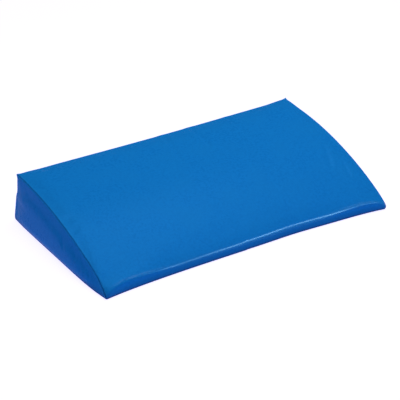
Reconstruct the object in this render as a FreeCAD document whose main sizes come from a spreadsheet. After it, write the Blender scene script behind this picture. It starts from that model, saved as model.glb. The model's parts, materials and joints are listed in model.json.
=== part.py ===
"""Incline wedge mat: a crowned foam wedge in a sewn cover with a zip along the back.

Millimetres. The origin is under the middle of the mat, on the surface it rests on.
+X runs along the long edges, +Y from the thin front lip to the tall back, +Z up.

The back face leans forward. What lies on it is drawn in the zip frame: x along the mat, y up the
back face from the zip's centre line, and z inward, so 0 is the outer face of the cover.
"""
import FreeCAD
import Part
import Sketcher
import math
import os

# Driving dimensions: name, value, what it is.
DIMENSIONS = [
    ("mat_length", 1200, "along the lip"),
    ("mat_depth", 700, "lip to back, on the base"),
    ("back_height", 200, "base to the back top corner"),
    ("back_lean", 24, "how far the back top corner stands forward of the base"),
    ("lip_height", 30, "base to where the crown meets the lip's plane"),
    ("crown_rise", 50, "rise of the crown's arc over its chord"),
    ("lip_roll", 16, "radius of the top edge of the lip"),
    ("back_roll", 10, "radius of the back top edge"),
    ("vinyl", 0.8, "thickness of the cover fabric"),
    ("foam_chamfer", 4, "edge of the foam, cut back for the seams"),
    ("channel_gap", 0.6, "zip slider to the channel in the foam"),
    ("zip_height", 54, "base to the zip's centre line"),
    ("window_gap", 0.3, "zip slider to the edges of the two back panels"),
    ("tape_thickness", 0.6, "zip tape"),
    ("tape_width", 16, "one zip tape, from its cord outward"),
    ("chain_width", 6.8, "both rows of teeth with their cords"),
    ("chain_thickness", 3, "teeth, through the tape"),
    ("cord_width", 1.2, "moulded cord that carries a row of teeth"),
    ("tooth_pitch", 4, "from one tooth to the next in a row"),
    ("tooth_width", 1.6, "one tooth, along the zip"),
    ("tooth_overlap", 0.9, "how far a tooth reaches past the centre line"),
    ("stop_length", 3, "top stops and bottom stop, along the zip"),
    ("stop_gap", 0.3, "last tooth to a top stop"),
    ("slider_length", 22, "zip slider, along the zip"),
    ("slider_nose", 10, "hinge of the tab to the slider's nose"),
    ("slider_flange", 2.8, "slider's channel to its side, at the tail"),
    ("slider_flare", 1.2, "how much wider each side is at the nose"),
    ("slider_plate", 1.5, "thickness of each slider plate"),
    ("slider_clearance", 0.3, "slider to teeth and tape"),
    ("post_start", 3, "hinge of the tab to the slider's dividing post"),
    ("post_length", 6, "dividing post, along the zip"),
    ("post_gap", 0.9, "dividing post to the top stops beside it"),
    ("bridge_length", 10, "bridge over the slider, along the zip"),
    ("bridge_width", 3, "bridge, across the zip"),
    ("bridge_bar", 1.4, "thickness of the bridge's top"),
    ("bridge_leg", 2, "each leg of the bridge, along the zip"),
    ("pin_radius", 1, "round bar of the tab, under the bridge"),
    ("pin_clearance", 0.3, "round bar to slider and bridge"),
    ("tab_length", 36, "hinge to the far end of the tab"),
    ("tab_gap", 1, "arms of the tab to the bridge between them"),
    ("tab_flare", 1, "how much wider each side is at the far end"),
    ("tab_thickness", 1.8, "tab"),
    ("tab_arm", 2, "width of each arm beside the bridge"),
    ("tab_window_gap", 3, "bridge to the far end of the window between the arms"),
    ("patch_length", 37, "patch over the end of the zip, along the mat"),
    ("patch_lap", 9, "how far a patch laps over each back panel"),
    ("patch_gap", 2.9, "slider's nose to the patch, with the zip closed"),
    ("thread", 0.5, "thickness of the sewing thread"),
    ("stitch_inset", 3, "edge of a panel to its row of stitches"),
    ("seam_inset", 1.6, "outer face of the cover to the thread of a seam"),
]

doc = FreeCAD.newDocument("InclineWedgeMat")
sheet = doc.addObject("Spreadsheet::Sheet", "Sizes")
for row, (alias, size, meaning) in enumerate(DIMENSIONS, start=1):
    sheet.set(f"A{row}", alias)
    sheet.set(f"B{row}", str(size))
    sheet.set(f"C{row}", meaning)
    sheet.setAlias(f"B{row}", alias)
doc.recompute()

# Expressions on the sheet. LEAN is how far the back face leans for each unit of its height.
HALF_LENGTH = "(Sizes.mat_length / 2)"
HALF_DEPTH = "(Sizes.mat_depth / 2)"
INNER_END = "(Sizes.mat_length / 2 - Sizes.vinyl)"
LEAN = "(Sizes.back_lean / Sizes.back_height)"
LEAN_SECANT = f"sqrt(1 + {LEAN}^2)"
LEAN_COSINE = f"(1 / {LEAN_SECANT})"
LEAN_SINE = f"({LEAN} / {LEAN_SECANT})"
BACK_SLOPE = f"(90 deg + atan({LEAN}))"

# The crown is an arc over the chord from the lip's top corner to the back top corner.
CHORD_Y = "(Sizes.mat_depth - Sizes.back_lean)"
CHORD_Z = "(Sizes.back_height - Sizes.lip_height)"
CHORD = f"sqrt({CHORD_Y}^2 + {CHORD_Z}^2)"
CROWN_RADIUS = f"({CHORD}^2 / (8 * Sizes.crown_rise) + Sizes.crown_rise / 2)"
CROWN_DROP = f"({CROWN_RADIUS} - Sizes.crown_rise)"
CROWN_Y = f"({CHORD_Y} / 2 - {HALF_DEPTH} + {CHORD_Z} / {CHORD} * {CROWN_DROP})"
CROWN_Z = f"(Sizes.lip_height + {CHORD_Z} / 2 - {CHORD_Y} / {CHORD} * {CROWN_DROP})"

# The zip frame's origin, and where the crown's centre and the top seam lie in that frame.
ZIP_Y = f"({HALF_DEPTH} - {LEAN} * Sizes.zip_height)"
ZIP_Z = "Sizes.zip_height"
CROWN_UP = f"(({CROWN_Z} - {ZIP_Z}) * {LEAN_COSINE} - ({CROWN_Y} - {ZIP_Y}) * {LEAN_SINE})"
CROWN_IN = f"(0 - ({CROWN_Y} - {ZIP_Y}) * {LEAN_COSINE} - ({CROWN_Z} - {ZIP_Z}) * {LEAN_SINE})"
ROLL_REACH = f"({CROWN_RADIUS} - Sizes.back_roll)"
TOP_SEAM_UP = f"({CROWN_UP} + sqrt({ROLL_REACH}^2 - ({CROWN_IN} - Sizes.back_roll)^2))"
BASE_SEAM_UP = f"(0 - ({ZIP_Z} - Sizes.vinyl * (1 + {LEAN_SINE})) / {LEAN_COSINE})"

# Depths below the cover's outer face, and reaches from the zip's centre line.
FOAM_INSET = "(Sizes.vinyl + Sizes.tape_thickness)"
CHAIN_MIDDLE = "(Sizes.vinyl + Sizes.tape_thickness / 2)"
CHAIN_OUTER = f"({CHAIN_MIDDLE} - Sizes.chain_thickness / 2)"
CHAIN_INNER = f"({CHAIN_MIDDLE} + Sizes.chain_thickness / 2)"
CHAIN_HALF = "(Sizes.chain_width / 2)"
CORD_EDGE = f"({CHAIN_HALF} - Sizes.cord_width)"
CHANNEL_HALF = f"({CHAIN_HALF} + Sizes.slider_clearance)"
TAIL_HALF = f"({CHANNEL_HALF} + Sizes.slider_flange)"
NOSE_HALF = f"({TAIL_HALF} + Sizes.slider_flare)"
WINDOW_HALF = f"({NOSE_HALF} + Sizes.window_gap)"
PATCH_HALF = f"({WINDOW_HALF} + Sizes.patch_lap)"
PATCH_START = f"({HALF_LENGTH} - Sizes.vinyl - Sizes.patch_length)"
STITCH_UP = f"({WINDOW_HALF} + Sizes.stitch_inset)"

# The slider rests at the closed end, beside the patch, with its post clear of the last tooth.
SLIDER_X = f"({PATCH_START} - Sizes.patch_gap - Sizes.slider_nose)"
SLIDER_TAIL = "(Sizes.slider_length - Sizes.slider_nose)"
CHAIN_END = f"({SLIDER_X} + Sizes.post_start - Sizes.slider_clearance)"
PLATE_OUTER = f"({CHAIN_OUTER} - Sizes.slider_clearance)"
PLATE_INNER = f"({CHAIN_INNER} + Sizes.slider_clearance)"
SLIDER_TOP = f"({PLATE_OUTER} - Sizes.slider_plate)"
SLIDER_BOTTOM = f"({PLATE_INNER} + Sizes.slider_plate)"
POST_HALF = f"({CORD_EDGE} - Sizes.post_gap)"
PIN_IN = f"({SLIDER_TOP} - Sizes.pin_clearance - Sizes.pin_radius)"
WINDOW_TOP = f"({PIN_IN} - Sizes.pin_radius - Sizes.pin_clearance)"
TAB_GAP_HALF = "(Sizes.bridge_width / 2 + Sizes.tab_gap)"
TAB_HALF = f"({TAB_GAP_HALF} + Sizes.tab_arm)"
TAB_WINDOW = "(Sizes.bridge_length / 2 + Sizes.tab_window_gap)"


def number(expression):
    """The value of an expression on the sheet, without its unit."""
    result = sheet.evalExpression(str(expression))
    return float(getattr(result, "Value", result))


def vector(x, y, z=0.0):
    return FreeCAD.Vector(x, y, z)


# ---------------------------------------------------------------- bodies and sketches


def add_body(name):
    body = doc.addObject("PartDesign::Body", name)
    body.Label = name
    return body


def in_zip_frame(piece, along="0"):
    """Put a piece in the zip frame, its own origin a distance along the zip."""
    turn = FreeCAD.Rotation(vector(1, 0, 0), number(BACK_SLOPE))
    place = vector(number(along), number(ZIP_Y), number(ZIP_Z))
    piece.Placement = FreeCAD.Placement(place, turn)
    piece.setExpression("Placement.Base.x", along)
    piece.setExpression("Placement.Base.y", ZIP_Y)
    piece.setExpression("Placement.Base.z", ZIP_Z)
    piece.setExpression("Placement.Rotation.Angle", BACK_SLOPE)


def add_sketch(body, plane, offset="0"):
    """A sketch on one of the body's own origin planes, moved along its normal."""
    sketch = body.newObject("Sketcher::SketchObject", body.Name + "_sketch")
    origin_plane = next(f for f in body.Origin.OriginFeatures if f.Role == plane)
    sketch.AttachmentSupport = [(origin_plane, "")]
    sketch.MapMode = "FlatFace"
    sketch.setExpression("AttachmentOffset.Base.z", offset)
    return sketch


def bind(sketch, kind, places, expression):
    """Add a constraint whose value follows an expression."""
    index = sketch.addConstraint(Sketcher.Constraint(kind, *places, number(expression)))
    sketch.setExpression(f"Constraints[{index}]", expression)


def hold(sketch, kind, geometry, point, expression):
    """Hold a point at a signed distance from the sketch's origin, along x or y."""
    size = number(expression)
    if abs(size) < 1e-9:
        axis = -2 if kind == "DistanceX" else -1
        sketch.addConstraint(Sketcher.Constraint("PointOnObject", geometry, point, axis))
    elif size > 0:
        bind(sketch, kind, (-1, 1, geometry, point), expression)
    else:
        bind(sketch, kind, (geometry, point, -1, 1), f"0 - {expression}")


def add_line(sketch, start, end, construction=False):
    return sketch.addGeometry(Part.LineSegment(vector(*start), vector(*end)), construction)


def add_arc(sketch, centre, radius, start_angle, end_angle):
    circle = Part.Circle(vector(*centre), vector(0, 0, 1), radius)
    return sketch.addGeometry(Part.ArcOfCircle(circle, start_angle, end_angle), False)


def join(sketch, kind, first, second):
    """Join the end of one edge to the start of the next."""
    sketch.addConstraint(Sketcher.Constraint(kind, first, 2, second, 1))


def add_polygon(sketch, corners):
    """A closed outline whose corners are pairs of expressions; an edge between two corners
    with the same expression is held level or upright by it."""
    points = [(number(x), number(y)) for x, y in corners]
    count = len(points)
    edges = [add_line(sketch, points[i], points[(i + 1) % count]) for i in range(count)]
    for i in range(count):
        join(sketch, "Coincident", edges[i], edges[(i + 1) % count])
    for edge, (x, y) in zip(edges, corners):
        hold(sketch, "DistanceX", edge, 1, x)
        hold(sketch, "DistanceY", edge, 1, y)


def add_rectangle(sketch, x_start, x_end, y_start, y_end):
    add_polygon(sketch, [(x_start, y_start), (x_end, y_start), (x_end, y_end), (x_start, y_end)])


def add_pad(body, sketch, length):
    pad = body.newObject("PartDesign::Pad", body.Name + "_pad")
    pad.Profile = sketch
    pad.setExpression("Length", length)
    return pad


def slab(name, x_range, y_range, z_range):
    """A rectangular piece in the zip frame, between pairs of expressions."""
    body = add_body(name)
    in_zip_frame(body)
    sketch = add_sketch(body, "XY_Plane", z_range[0])
    add_rectangle(sketch, *x_range, *y_range)
    add_pad(body, sketch, f"{z_range[1]} - {z_range[0]}")
    return body


# ---------------------------------------------------------------- the wedge's section


def add_outline(sketch, inset, floor, open_below=False):
    """The mat's section, an even inset inside the cover's outer face and cut off at the floor.

    Returns its base, back, back roll, crown, lip roll and lip edges, drawn head to tail. With
    open_below the base and the back are construction lines.
    """
    lean = math.atan(number(LEAN))
    crown = (number(CROWN_Y), number(CROWN_Z))
    inset_size = number(inset)
    radius = number(CROWN_RADIUS) - inset_size
    back_radius = number("Sizes.back_roll") - inset_size
    lip_radius = number("Sizes.lip_roll") - inset_size
    lip_y = inset_size - number(HALF_DEPTH)
    floor_z = number(floor)
    back_y = number(HALF_DEPTH) - number(LEAN) * floor_z - inset_size * number(LEAN_SECANT)

    up_the_back = number(TOP_SEAM_UP)
    seam = vector(number(ZIP_Y), number(ZIP_Z))
    seam += vector(-math.sin(lean), math.cos(lean)) * up_the_back
    outward = vector(math.cos(lean), math.sin(lean))
    back_centre = seam - outward * number("Sizes.back_roll")
    back_touch = back_centre + outward * back_radius
    lip_across = lip_y + lip_radius - crown[0]
    lip_up = math.sqrt((radius - lip_radius) ** 2 - lip_across**2)
    lip_centre = vector(lip_y + lip_radius, crown[1] + lip_up)
    back_angle = math.atan2(back_centre.y - crown[1], back_centre.x - crown[0])
    lip_angle = math.atan2(lip_up, lip_across)

    base = add_line(sketch, (lip_y, floor_z), (back_y, floor_z), open_below)
    back = add_line(sketch, (back_y, floor_z), (back_touch.x, back_touch.y), open_below)
    back_roll = add_arc(sketch, (back_centre.x, back_centre.y), back_radius, lean, back_angle)
    top = add_arc(sketch, crown, radius, back_angle, lip_angle)
    lip_roll = add_arc(sketch, (lip_centre.x, lip_centre.y), lip_radius, lip_angle, math.pi)
    lip = add_line(sketch, (lip_y, lip_centre.y), (lip_y, floor_z))

    join(sketch, "Coincident", base, back)
    join(sketch, "Tangent", back, back_roll)
    join(sketch, "Tangent", back_roll, top)
    join(sketch, "Tangent", top, lip_roll)
    join(sketch, "Tangent", lip_roll, lip)
    join(sketch, "Coincident", lip, base)
    sketch.addConstraint(Sketcher.Constraint("Horizontal", base))
    sketch.addConstraint(Sketcher.Constraint("Vertical", lip))
    hold(sketch, "DistanceX", base, 1, f"({inset} - {HALF_DEPTH})")
    hold(sketch, "DistanceY", base, 1, floor)
    back_foot = f"({HALF_DEPTH} - {LEAN} * {floor} - {inset} * {LEAN_SECANT})"
    hold(sketch, "DistanceX", base, 2, back_foot)
    bind(sketch, "Angle", (back,), BACK_SLOPE)
    hold(sketch, "DistanceX", top, 3, CROWN_Y)
    hold(sketch, "DistanceY", top, 3, CROWN_Z)
    bind(sketch, "Radius", (back_roll,), f"Sizes.back_roll - {inset}")
    bind(sketch, "Radius", (top,), f"{CROWN_RADIUS} - {inset}")
    bind(sketch, "Radius", (lip_roll,), f"Sizes.lip_roll - {inset}")
    return base, back, back_roll, top, lip_roll, lip


def add_cap(sketch, first, first_point, second, second_point):
    """A straight edge between an end of one edge and an end of another."""
    points = [sketch.getPoint(first, first_point), sketch.getPoint(second, second_point)]
    cap = add_line(sketch, points[0][:2], points[1][:2])
    sketch.addConstraint(Sketcher.Constraint("Coincident", cap, 1, first, first_point))
    sketch.addConstraint(Sketcher.Constraint("Coincident", cap, 2, second, second_point))


# ---------------------------------------------------------------- foam and cover panels


def make_foam_core():
    """The foam block, its ends and long bottom edges chamfered, with a channel for the zip."""
    block = add_body("foam_block")
    sketch = add_sketch(block, "YZ_Plane", f"0 - {INNER_END}")
    add_outline(sketch, FOAM_INSET, "Sizes.vinyl")
    pad = add_pad(block, sketch, f"2 * {INNER_END}")
    doc.recompute()
    chamfer = block.newObject("PartDesign::Chamfer", "foam_chamfer")
    chamfer.Base = (pad, end_and_bottom_edges(pad.Shape))
    chamfer.setExpression("Size", "Sizes.foam_chamfer")
    across = f"({NOSE_HALF} + Sizes.channel_gap)"
    channel = slab(
        "zip_channel",
        (f"(0 - {PATCH_START})", PATCH_START),
        (f"(0 - {across})", across),
        ("0", f"({SLIDER_BOTTOM} + Sizes.channel_gap)"),
    )
    foam = doc.addObject("Part::Cut", "foam_core")
    foam.Base = block
    foam.Tool = channel
    foam.Label = "foam_core"
    return foam


def end_and_bottom_edges(shape):
    """Names of the edges round both end faces and along the bottom of a section's pad."""
    box = shape.BoundBox
    names = []
    for index, edge in enumerate(shape.Edges, start=1):
        around = edge.BoundBox
        at_an_end = around.XLength < 1e-6
        at_the_bottom = around.ZMax < box.ZMin + 1e-6
        if at_an_end or at_the_bottom:
            names.append(f"Edge{index}")
    return names


def make_top_panel():
    """One piece of vinyl from the back top seam over the crown and down the lip."""
    body = add_body("top_panel")
    sketch = add_sketch(body, "YZ_Plane", f"0 - {INNER_END}")
    outer = add_outline(sketch, "0", "Sizes.vinyl", open_below=True)
    inner = add_outline(sketch, "Sizes.vinyl", "Sizes.vinyl", open_below=True)
    add_cap(sketch, outer[2], 1, inner[2], 1)
    add_cap(sketch, outer[5], 2, inner[5], 2)
    add_pad(body, sketch, f"2 * {INNER_END}")
    return body


def make_end_panel(name, offset):
    body = add_body(name)
    sketch = add_sketch(body, "YZ_Plane", offset)
    add_outline(sketch, "0", "0")
    add_pad(body, sketch, "Sizes.vinyl")
    return body


def make_base_panel():
    body = add_body("base_panel")
    sketch = add_sketch(body, "XY_Plane")
    back = f"({HALF_DEPTH} - {LEAN} * Sizes.vinyl)"
    add_rectangle(sketch, f"(0 - {INNER_END})", INNER_END, f"(0 - {HALF_DEPTH})", back)
    add_pad(body, sketch, "Sizes.vinyl")
    return body


def make_back_panels():
    whole = (f"(0 - {INNER_END})", INNER_END)
    skin = ("0", "Sizes.vinyl")
    upper = slab("back_upper_panel", whole, (WINDOW_HALF, TOP_SEAM_UP), skin)
    lower = slab("back_lower_panel", whole, (BASE_SEAM_UP, f"(0 - {WINDOW_HALF})"), skin)
    return [upper, lower]


# ---------------------------------------------------------------- threads and patches


def make_end_seam_thread(name, offset):
    """The thread round an end panel: a thin loop against its inner face."""
    body = add_body(name)
    sketch = add_sketch(body, "YZ_Plane", offset)
    add_outline(sketch, "Sizes.seam_inset", "Sizes.seam_inset")
    inner = "(Sizes.seam_inset + Sizes.thread)"
    add_outline(sketch, inner, inner)
    add_pad(body, sketch, "Sizes.thread")
    return body


def make_back_top_thread():
    reach = f"({INNER_END} - Sizes.foam_chamfer)"
    top = f"({TOP_SEAM_UP} - Sizes.stitch_inset)"
    depth = ("Sizes.vinyl", "(Sizes.vinyl + Sizes.thread)")
    along = (f"(0 - {reach})", reach)
    return slab("seam_thread_back_top", along, (f"({top} - Sizes.thread)", top), depth)


def make_base_thread(name, start):
    """A thread that lies on the base panel, beside one of its long edges."""
    body = add_body(name)
    sketch = add_sketch(body, "XY_Plane", "Sizes.vinyl")
    reach = f"({INNER_END} - Sizes.foam_chamfer)"
    add_rectangle(sketch, f"(0 - {reach})", reach, start, f"({start} + Sizes.thread)")
    add_pad(body, sketch, "Sizes.thread")
    return body


def make_zip_stitching(name, y_start):
    reach = f"({PATCH_START} - Sizes.stitch_inset)"
    above = ("(0 - Sizes.thread)", "0")
    return slab(name, (f"(0 - {reach})", reach), (y_start, f"({y_start} + Sizes.thread)"), above)


def make_patch(name, x_start, x_end):
    across = (f"(0 - {PATCH_HALF})", PATCH_HALF)
    return slab(name, (x_start, x_end), across, ("(0 - Sizes.vinyl)", "0"))


def make_patch_stitching(name, x_start, x_end):
    """A loop of thread on a patch, inside its edge."""
    body = add_body(name)
    in_zip_frame(body)
    sketch = add_sketch(body, "XY_Plane", "0 - Sizes.vinyl - Sizes.thread")
    for inset in ("Sizes.stitch_inset", "(Sizes.stitch_inset + Sizes.thread)"):
        half = f"({PATCH_HALF} - {inset})"
        x_range = (f"({x_start} + {inset})", f"({x_end} - {inset})")
        add_rectangle(sketch, *x_range, f"(0 - {half})", half)
    add_pad(body, sketch, "Sizes.thread")
    return body


# ---------------------------------------------------------------- zip


def make_tape(name, y_range):
    depth = ("Sizes.vinyl", FOAM_INSET)
    reach = f"({INNER_END} - Sizes.foam_chamfer)"
    return slab(name, (f"(0 - {reach})", reach), y_range, depth)


def make_teeth(name, side):
    """One row of teeth on its cord. side is 1 above the centre line and -1 below it, where the
    teeth stand half a pitch further along, between those above."""
    end = number(CHAIN_END)
    pitch = number("Sizes.tooth_pitch")
    half_tooth = number("Sizes.tooth_width") / 2
    edge = side * number(CHAIN_HALF)
    root = side * number(CORD_EDGE)
    tip = -side * number("Sizes.tooth_overlap")
    depth = number(CHAIN_OUTER)
    first = -end + pitch * (0.25 if side > 0 else 0.75)
    count = int((end - half_tooth - first) / pitch) + 1
    corners = [vector(-end, edge, depth), vector(-end, root, depth)]
    for tooth in range(count):
        middle = first + tooth * pitch
        for x, y in ((-1, root), (-1, tip), (1, tip), (1, root)):
            corners.append(vector(middle + x * half_tooth, y, depth))
    corners += [vector(end, root, depth), vector(end, edge, depth)]
    face = Part.Face(Part.makePolygon(corners + corners[:1]))
    teeth = doc.addObject("Part::Feature", name)
    teeth.Shape = face.extrude(vector(0, 0, number("Sizes.chain_thickness")))
    teeth.Label = name
    in_zip_frame(teeth)
    return teeth


def make_top_stops():
    """Two stops on the cords, just past the last teeth, one each side of the slider's post."""
    depth = number(CHAIN_OUTER)
    start = number(CHAIN_END) + number("Sizes.stop_gap")
    size = (number("Sizes.stop_length"), number("Sizes.cord_width"), number("Sizes.chain_thickness"))
    edge = number(CORD_EDGE)
    upper = Part.makeBox(*size, vector(start, edge, depth))
    lower = Part.makeBox(*size, vector(start, -edge - size[1], depth))
    stops = doc.addObject("Part::Feature", "zip_top_stops")
    stops.Shape = Part.makeCompound([upper, lower])
    stops.Label = "zip_top_stops"
    in_zip_frame(stops)
    return stops


def make_bottom_stop():
    x_range = (f"(0 - {CHAIN_END} - Sizes.stop_length)", f"(0 - {CHAIN_END})")
    across = (f"(0 - {CHAIN_HALF})", CHAIN_HALF)
    return slab("zip_bottom_stop", x_range, across, (CHAIN_OUTER, CHAIN_INNER))


def make_slider():
    """Two plates joined by a post at the nose, open for the teeth and slotted for the tapes."""
    body = add_body("zip_slider")
    in_zip_frame(body, SLIDER_X)
    tail = f"(0 - {SLIDER_TAIL})"
    nose = "Sizes.slider_nose"
    shoulder = "Sizes.post_start"

    plates = add_sketch(body, "XY_Plane", SLIDER_TOP)
    add_polygon(plates, [
        (tail, f"(0 - {TAIL_HALF})"),
        ("0", f"(0 - {TAIL_HALF})"),
        (shoulder, f"(0 - {NOSE_HALF})"),
        (nose, f"(0 - {NOSE_HALF} + Sizes.slider_plate)"),
        (nose, f"({NOSE_HALF} - Sizes.slider_plate)"),
        (shoulder, NOSE_HALF),
        ("0", TAIL_HALF),
        (tail, TAIL_HALF),
    ])
    block = add_pad(body, plates, f"{SLIDER_BOTTOM} - {SLIDER_TOP}")
    doc.recompute()

    widening = f"({CHANNEL_HALF} + Sizes.slider_flare)"
    teeth_way = add_sketch(body, "XY_Plane", PLATE_OUTER)
    add_polygon(teeth_way, [
        (f"({tail} - 1)", f"(0 - {CHANNEL_HALF})"),
        ("0", f"(0 - {CHANNEL_HALF})"),
        (f"({nose} + 1)", f"(0 - {widening})"),
        (f"({nose} + 1)", widening),
        ("0", CHANNEL_HALF),
        (f"({tail} - 1)", CHANNEL_HALF),
    ])
    cut_upward(body, teeth_way, f"{PLATE_INNER} - {PLATE_OUTER}", block)

    tape_way = add_sketch(body, "XY_Plane", "Sizes.vinyl - Sizes.slider_clearance")
    far = f"({NOSE_HALF} + 1)"
    add_rectangle(tape_way, f"({tail} - 1)", f"({nose} + 1)", f"(0 - {far})", far)
    cut_upward(body, tape_way, "Sizes.tape_thickness + 2 * Sizes.slider_clearance", body.Tip)

    post = add_sketch(body, "XY_Plane", SLIDER_TOP)
    post_end = "(Sizes.post_start + Sizes.post_length)"
    middle = "(Sizes.post_start + Sizes.post_length / 2)"
    add_polygon(post, [
        ("Sizes.post_start", "0"),
        (middle, f"(0 - {POST_HALF})"),
        (post_end, "0"),
        (middle, POST_HALF),
    ])
    add_pad(body, post, f"{SLIDER_BOTTOM} - {SLIDER_TOP}").Label = "zip_slider_post"
    return body


def cut_upward(body, sketch, depth, before):
    """A pocket from its sketch along the sketch's normal, which has to take material away."""
    pocket = body.newObject("PartDesign::Pocket", body.Name + "_pocket")
    pocket.Profile = sketch
    pocket.Reversed = True
    pocket.setExpression("Length", depth)
    doc.recompute()
    if pocket.Shape.Volume > before.Shape.Volume - 1:
        raise ValueError(f"{pocket.Name} cuts nothing")


def make_bridge():
    """The square arch on the slider that the tab's round bar passes under."""
    body = add_body("zip_slider_bridge")
    in_zip_frame(body, SLIDER_X)
    half = "(Sizes.bridge_length / 2)"
    inside = f"({half} - Sizes.bridge_leg)"
    roof = f"({WINDOW_TOP} - Sizes.bridge_bar)"
    sketch = add_sketch(body, "XZ_Plane", "0 - Sizes.bridge_width / 2")
    add_polygon(sketch, [
        (f"(0 - {half})", SLIDER_TOP),
        (f"(0 - {half})", f"({roof} + Sizes.bridge_bar)"),
        (f"(0 - {inside})", roof),
        (inside, roof),
        (half, f"({roof} + Sizes.bridge_bar)"),
        (half, SLIDER_TOP),
        (inside, SLIDER_TOP),
        (inside, WINDOW_TOP),
        (f"(0 - {inside})", WINDOW_TOP),
        (f"(0 - {inside})", SLIDER_TOP),
    ])
    add_pad(body, sketch, "Sizes.bridge_width")
    return body


def make_pull_tab():
    """A flat tab with two arms and a round bar between them, which is its hinge."""
    body = add_body("pull_tab_plate")
    in_zip_frame(body, SLIDER_X)
    far = f"({TAB_HALF} + Sizes.tab_flare)"
    corner = "(0 - Sizes.tab_length + Sizes.tab_arm)"
    sketch = add_sketch(body, "XY_Plane", f"{PIN_IN} - Sizes.tab_thickness / 2")
    add_polygon(sketch, [
        ("0", f"(0 - {TAB_HALF})"),
        ("0", f"(0 - {TAB_GAP_HALF})"),
        (f"(0 - {TAB_WINDOW})", f"(0 - {TAB_GAP_HALF})"),
        (f"(0 - {TAB_WINDOW})", TAB_GAP_HALF),
        ("0", TAB_GAP_HALF),
        ("0", TAB_HALF),
        (corner, far),
        ("(0 - Sizes.tab_length)", f"({far} - Sizes.tab_arm)"),
        ("(0 - Sizes.tab_length)", f"(0 - {far} + Sizes.tab_arm)"),
        (corner, f"(0 - {far})"),
    ])
    add_pad(body, sketch, "Sizes.tab_thickness")

    bar = add_body("pull_tab_bar")
    in_zip_frame(bar, SLIDER_X)
    round_section = add_sketch(bar, "XZ_Plane", f"0 - {TAB_HALF}")
    circle = Part.Circle(vector(0, number(PIN_IN)), vector(0, 0, 1), number("Sizes.pin_radius"))
    ring = round_section.addGeometry(circle, False)
    bind(round_section, "Radius", (ring,), "Sizes.pin_radius")
    hold(round_section, "DistanceX", ring, 3, "0")
    hold(round_section, "DistanceY", ring, 3, PIN_IN)
    add_pad(bar, round_section, f"2 * {TAB_HALF}")

    tab = doc.addObject("Part::Fuse", "zip_pull_tab")
    tab.Base = body
    tab.Tool = bar
    tab.Label = "zip_pull_tab"
    return tab


# ---------------------------------------------------------------- build, check and write


def make_all():
    inner_start = f"(0 - {INNER_END})"
    lower = f"(0 - {STITCH_UP} - Sizes.thread)"
    tape_far = f"({CHAIN_HALF} + Sizes.tape_width)"
    front_thread = f"(Sizes.seam_inset - {HALF_DEPTH})"
    back_thread = f"({HALF_DEPTH} - Sizes.seam_inset - Sizes.thread)"
    left_patch = (inner_start, f"(0 - {PATCH_START})")
    right_patch = (PATCH_START, INNER_END)
    pieces = [
        make_foam_core(),
        make_top_panel(),
        make_base_panel(),
        make_end_panel("left_end_panel", f"0 - {HALF_LENGTH}"),
        make_end_panel("right_end_panel", INNER_END),
    ]
    pieces += make_back_panels()
    pieces += [
        make_tape("zip_tape_upper", (CHAIN_HALF, tape_far)),
        make_tape("zip_tape_lower", (f"(0 - {tape_far})", f"(0 - {CHAIN_HALF})")),
        make_teeth("zip_teeth_upper", 1),
        make_teeth("zip_teeth_lower", -1),
        make_top_stops(),
        make_bottom_stop(),
        make_slider(),
        make_bridge(),
        make_pull_tab(),
        make_patch("zip_end_patch_left", *left_patch),
        make_patch("zip_end_patch_right", *right_patch),
        make_patch_stitching("patch_stitching_left", *left_patch),
        make_patch_stitching("patch_stitching_right", *right_patch),
        make_zip_stitching("zip_stitching_upper", STITCH_UP),
        make_zip_stitching("zip_stitching_lower", lower),
        make_end_seam_thread("seam_thread_left_end", inner_start),
        make_end_seam_thread("seam_thread_right_end", f"{INNER_END} - Sizes.thread"),
        make_back_top_thread(),
        make_base_thread("seam_thread_base_front", front_thread),
        make_base_thread("seam_thread_base_back", back_thread),
    ]
    return pieces


def check(pieces):
    """Stop before anything is written if an object failed or a shape isn't sound."""
    for item in doc.Objects:
        faults = [state for state in item.State if state in ("Invalid", "Error")]
        if faults:
            raise ValueError(f"{item.Name}: {faults}")
    for piece in pieces:
        if piece.Shape.isNull() or not piece.Shape.isValid() or not piece.Shape.Solids:
            raise ValueError(f"{piece.Label} has no sound solid")


def write(pieces):
    os.makedirs("parts", exist_ok=True)
    for piece in pieces:
        piece.Shape.exportStep(f"parts/{piece.Label}.step")
        box = piece.Shape.BoundBox
        sizes = f"{box.XLength:8.1f} {box.YLength:8.1f} {box.ZLength:8.1f}"
        print(f"{piece.Label:24s} solids {len(piece.Shape.Solids)} size {sizes}")


sub_parts = make_all()
doc.recompute()
check(sub_parts)
write(sub_parts)
travel = number(f"{SLIDER_X} - {SLIDER_TAIL} + {CHAIN_END} - Sizes.slider_clearance")
print(f"zip travel {travel:.1f}, slider at x {number(SLIDER_X):.1f}")
print(f"tab hinge {number(PIN_IN):.2f} below the outer face, slope {number(BACK_SLOPE):.3f} deg")
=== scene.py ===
# %% [markdown]
# # An incline wedge mat
#
# A foam ramp in a sewn cover of smooth coated fabric. The plain CAD model gives the sizes, the bodies
# and the joints; this file gives it its looks. The frame is loaded first and never moved, and every
# piece below is made in its coordinates: metres, +X along the mat, +Y from the thin lip to the tall
# back, +Z up.

# %% Load the frame
import json
import math

import bmesh
import bpy
import numpy as np
from mathutils import Matrix, Vector
from mathutils.kdtree import KDTree


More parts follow.
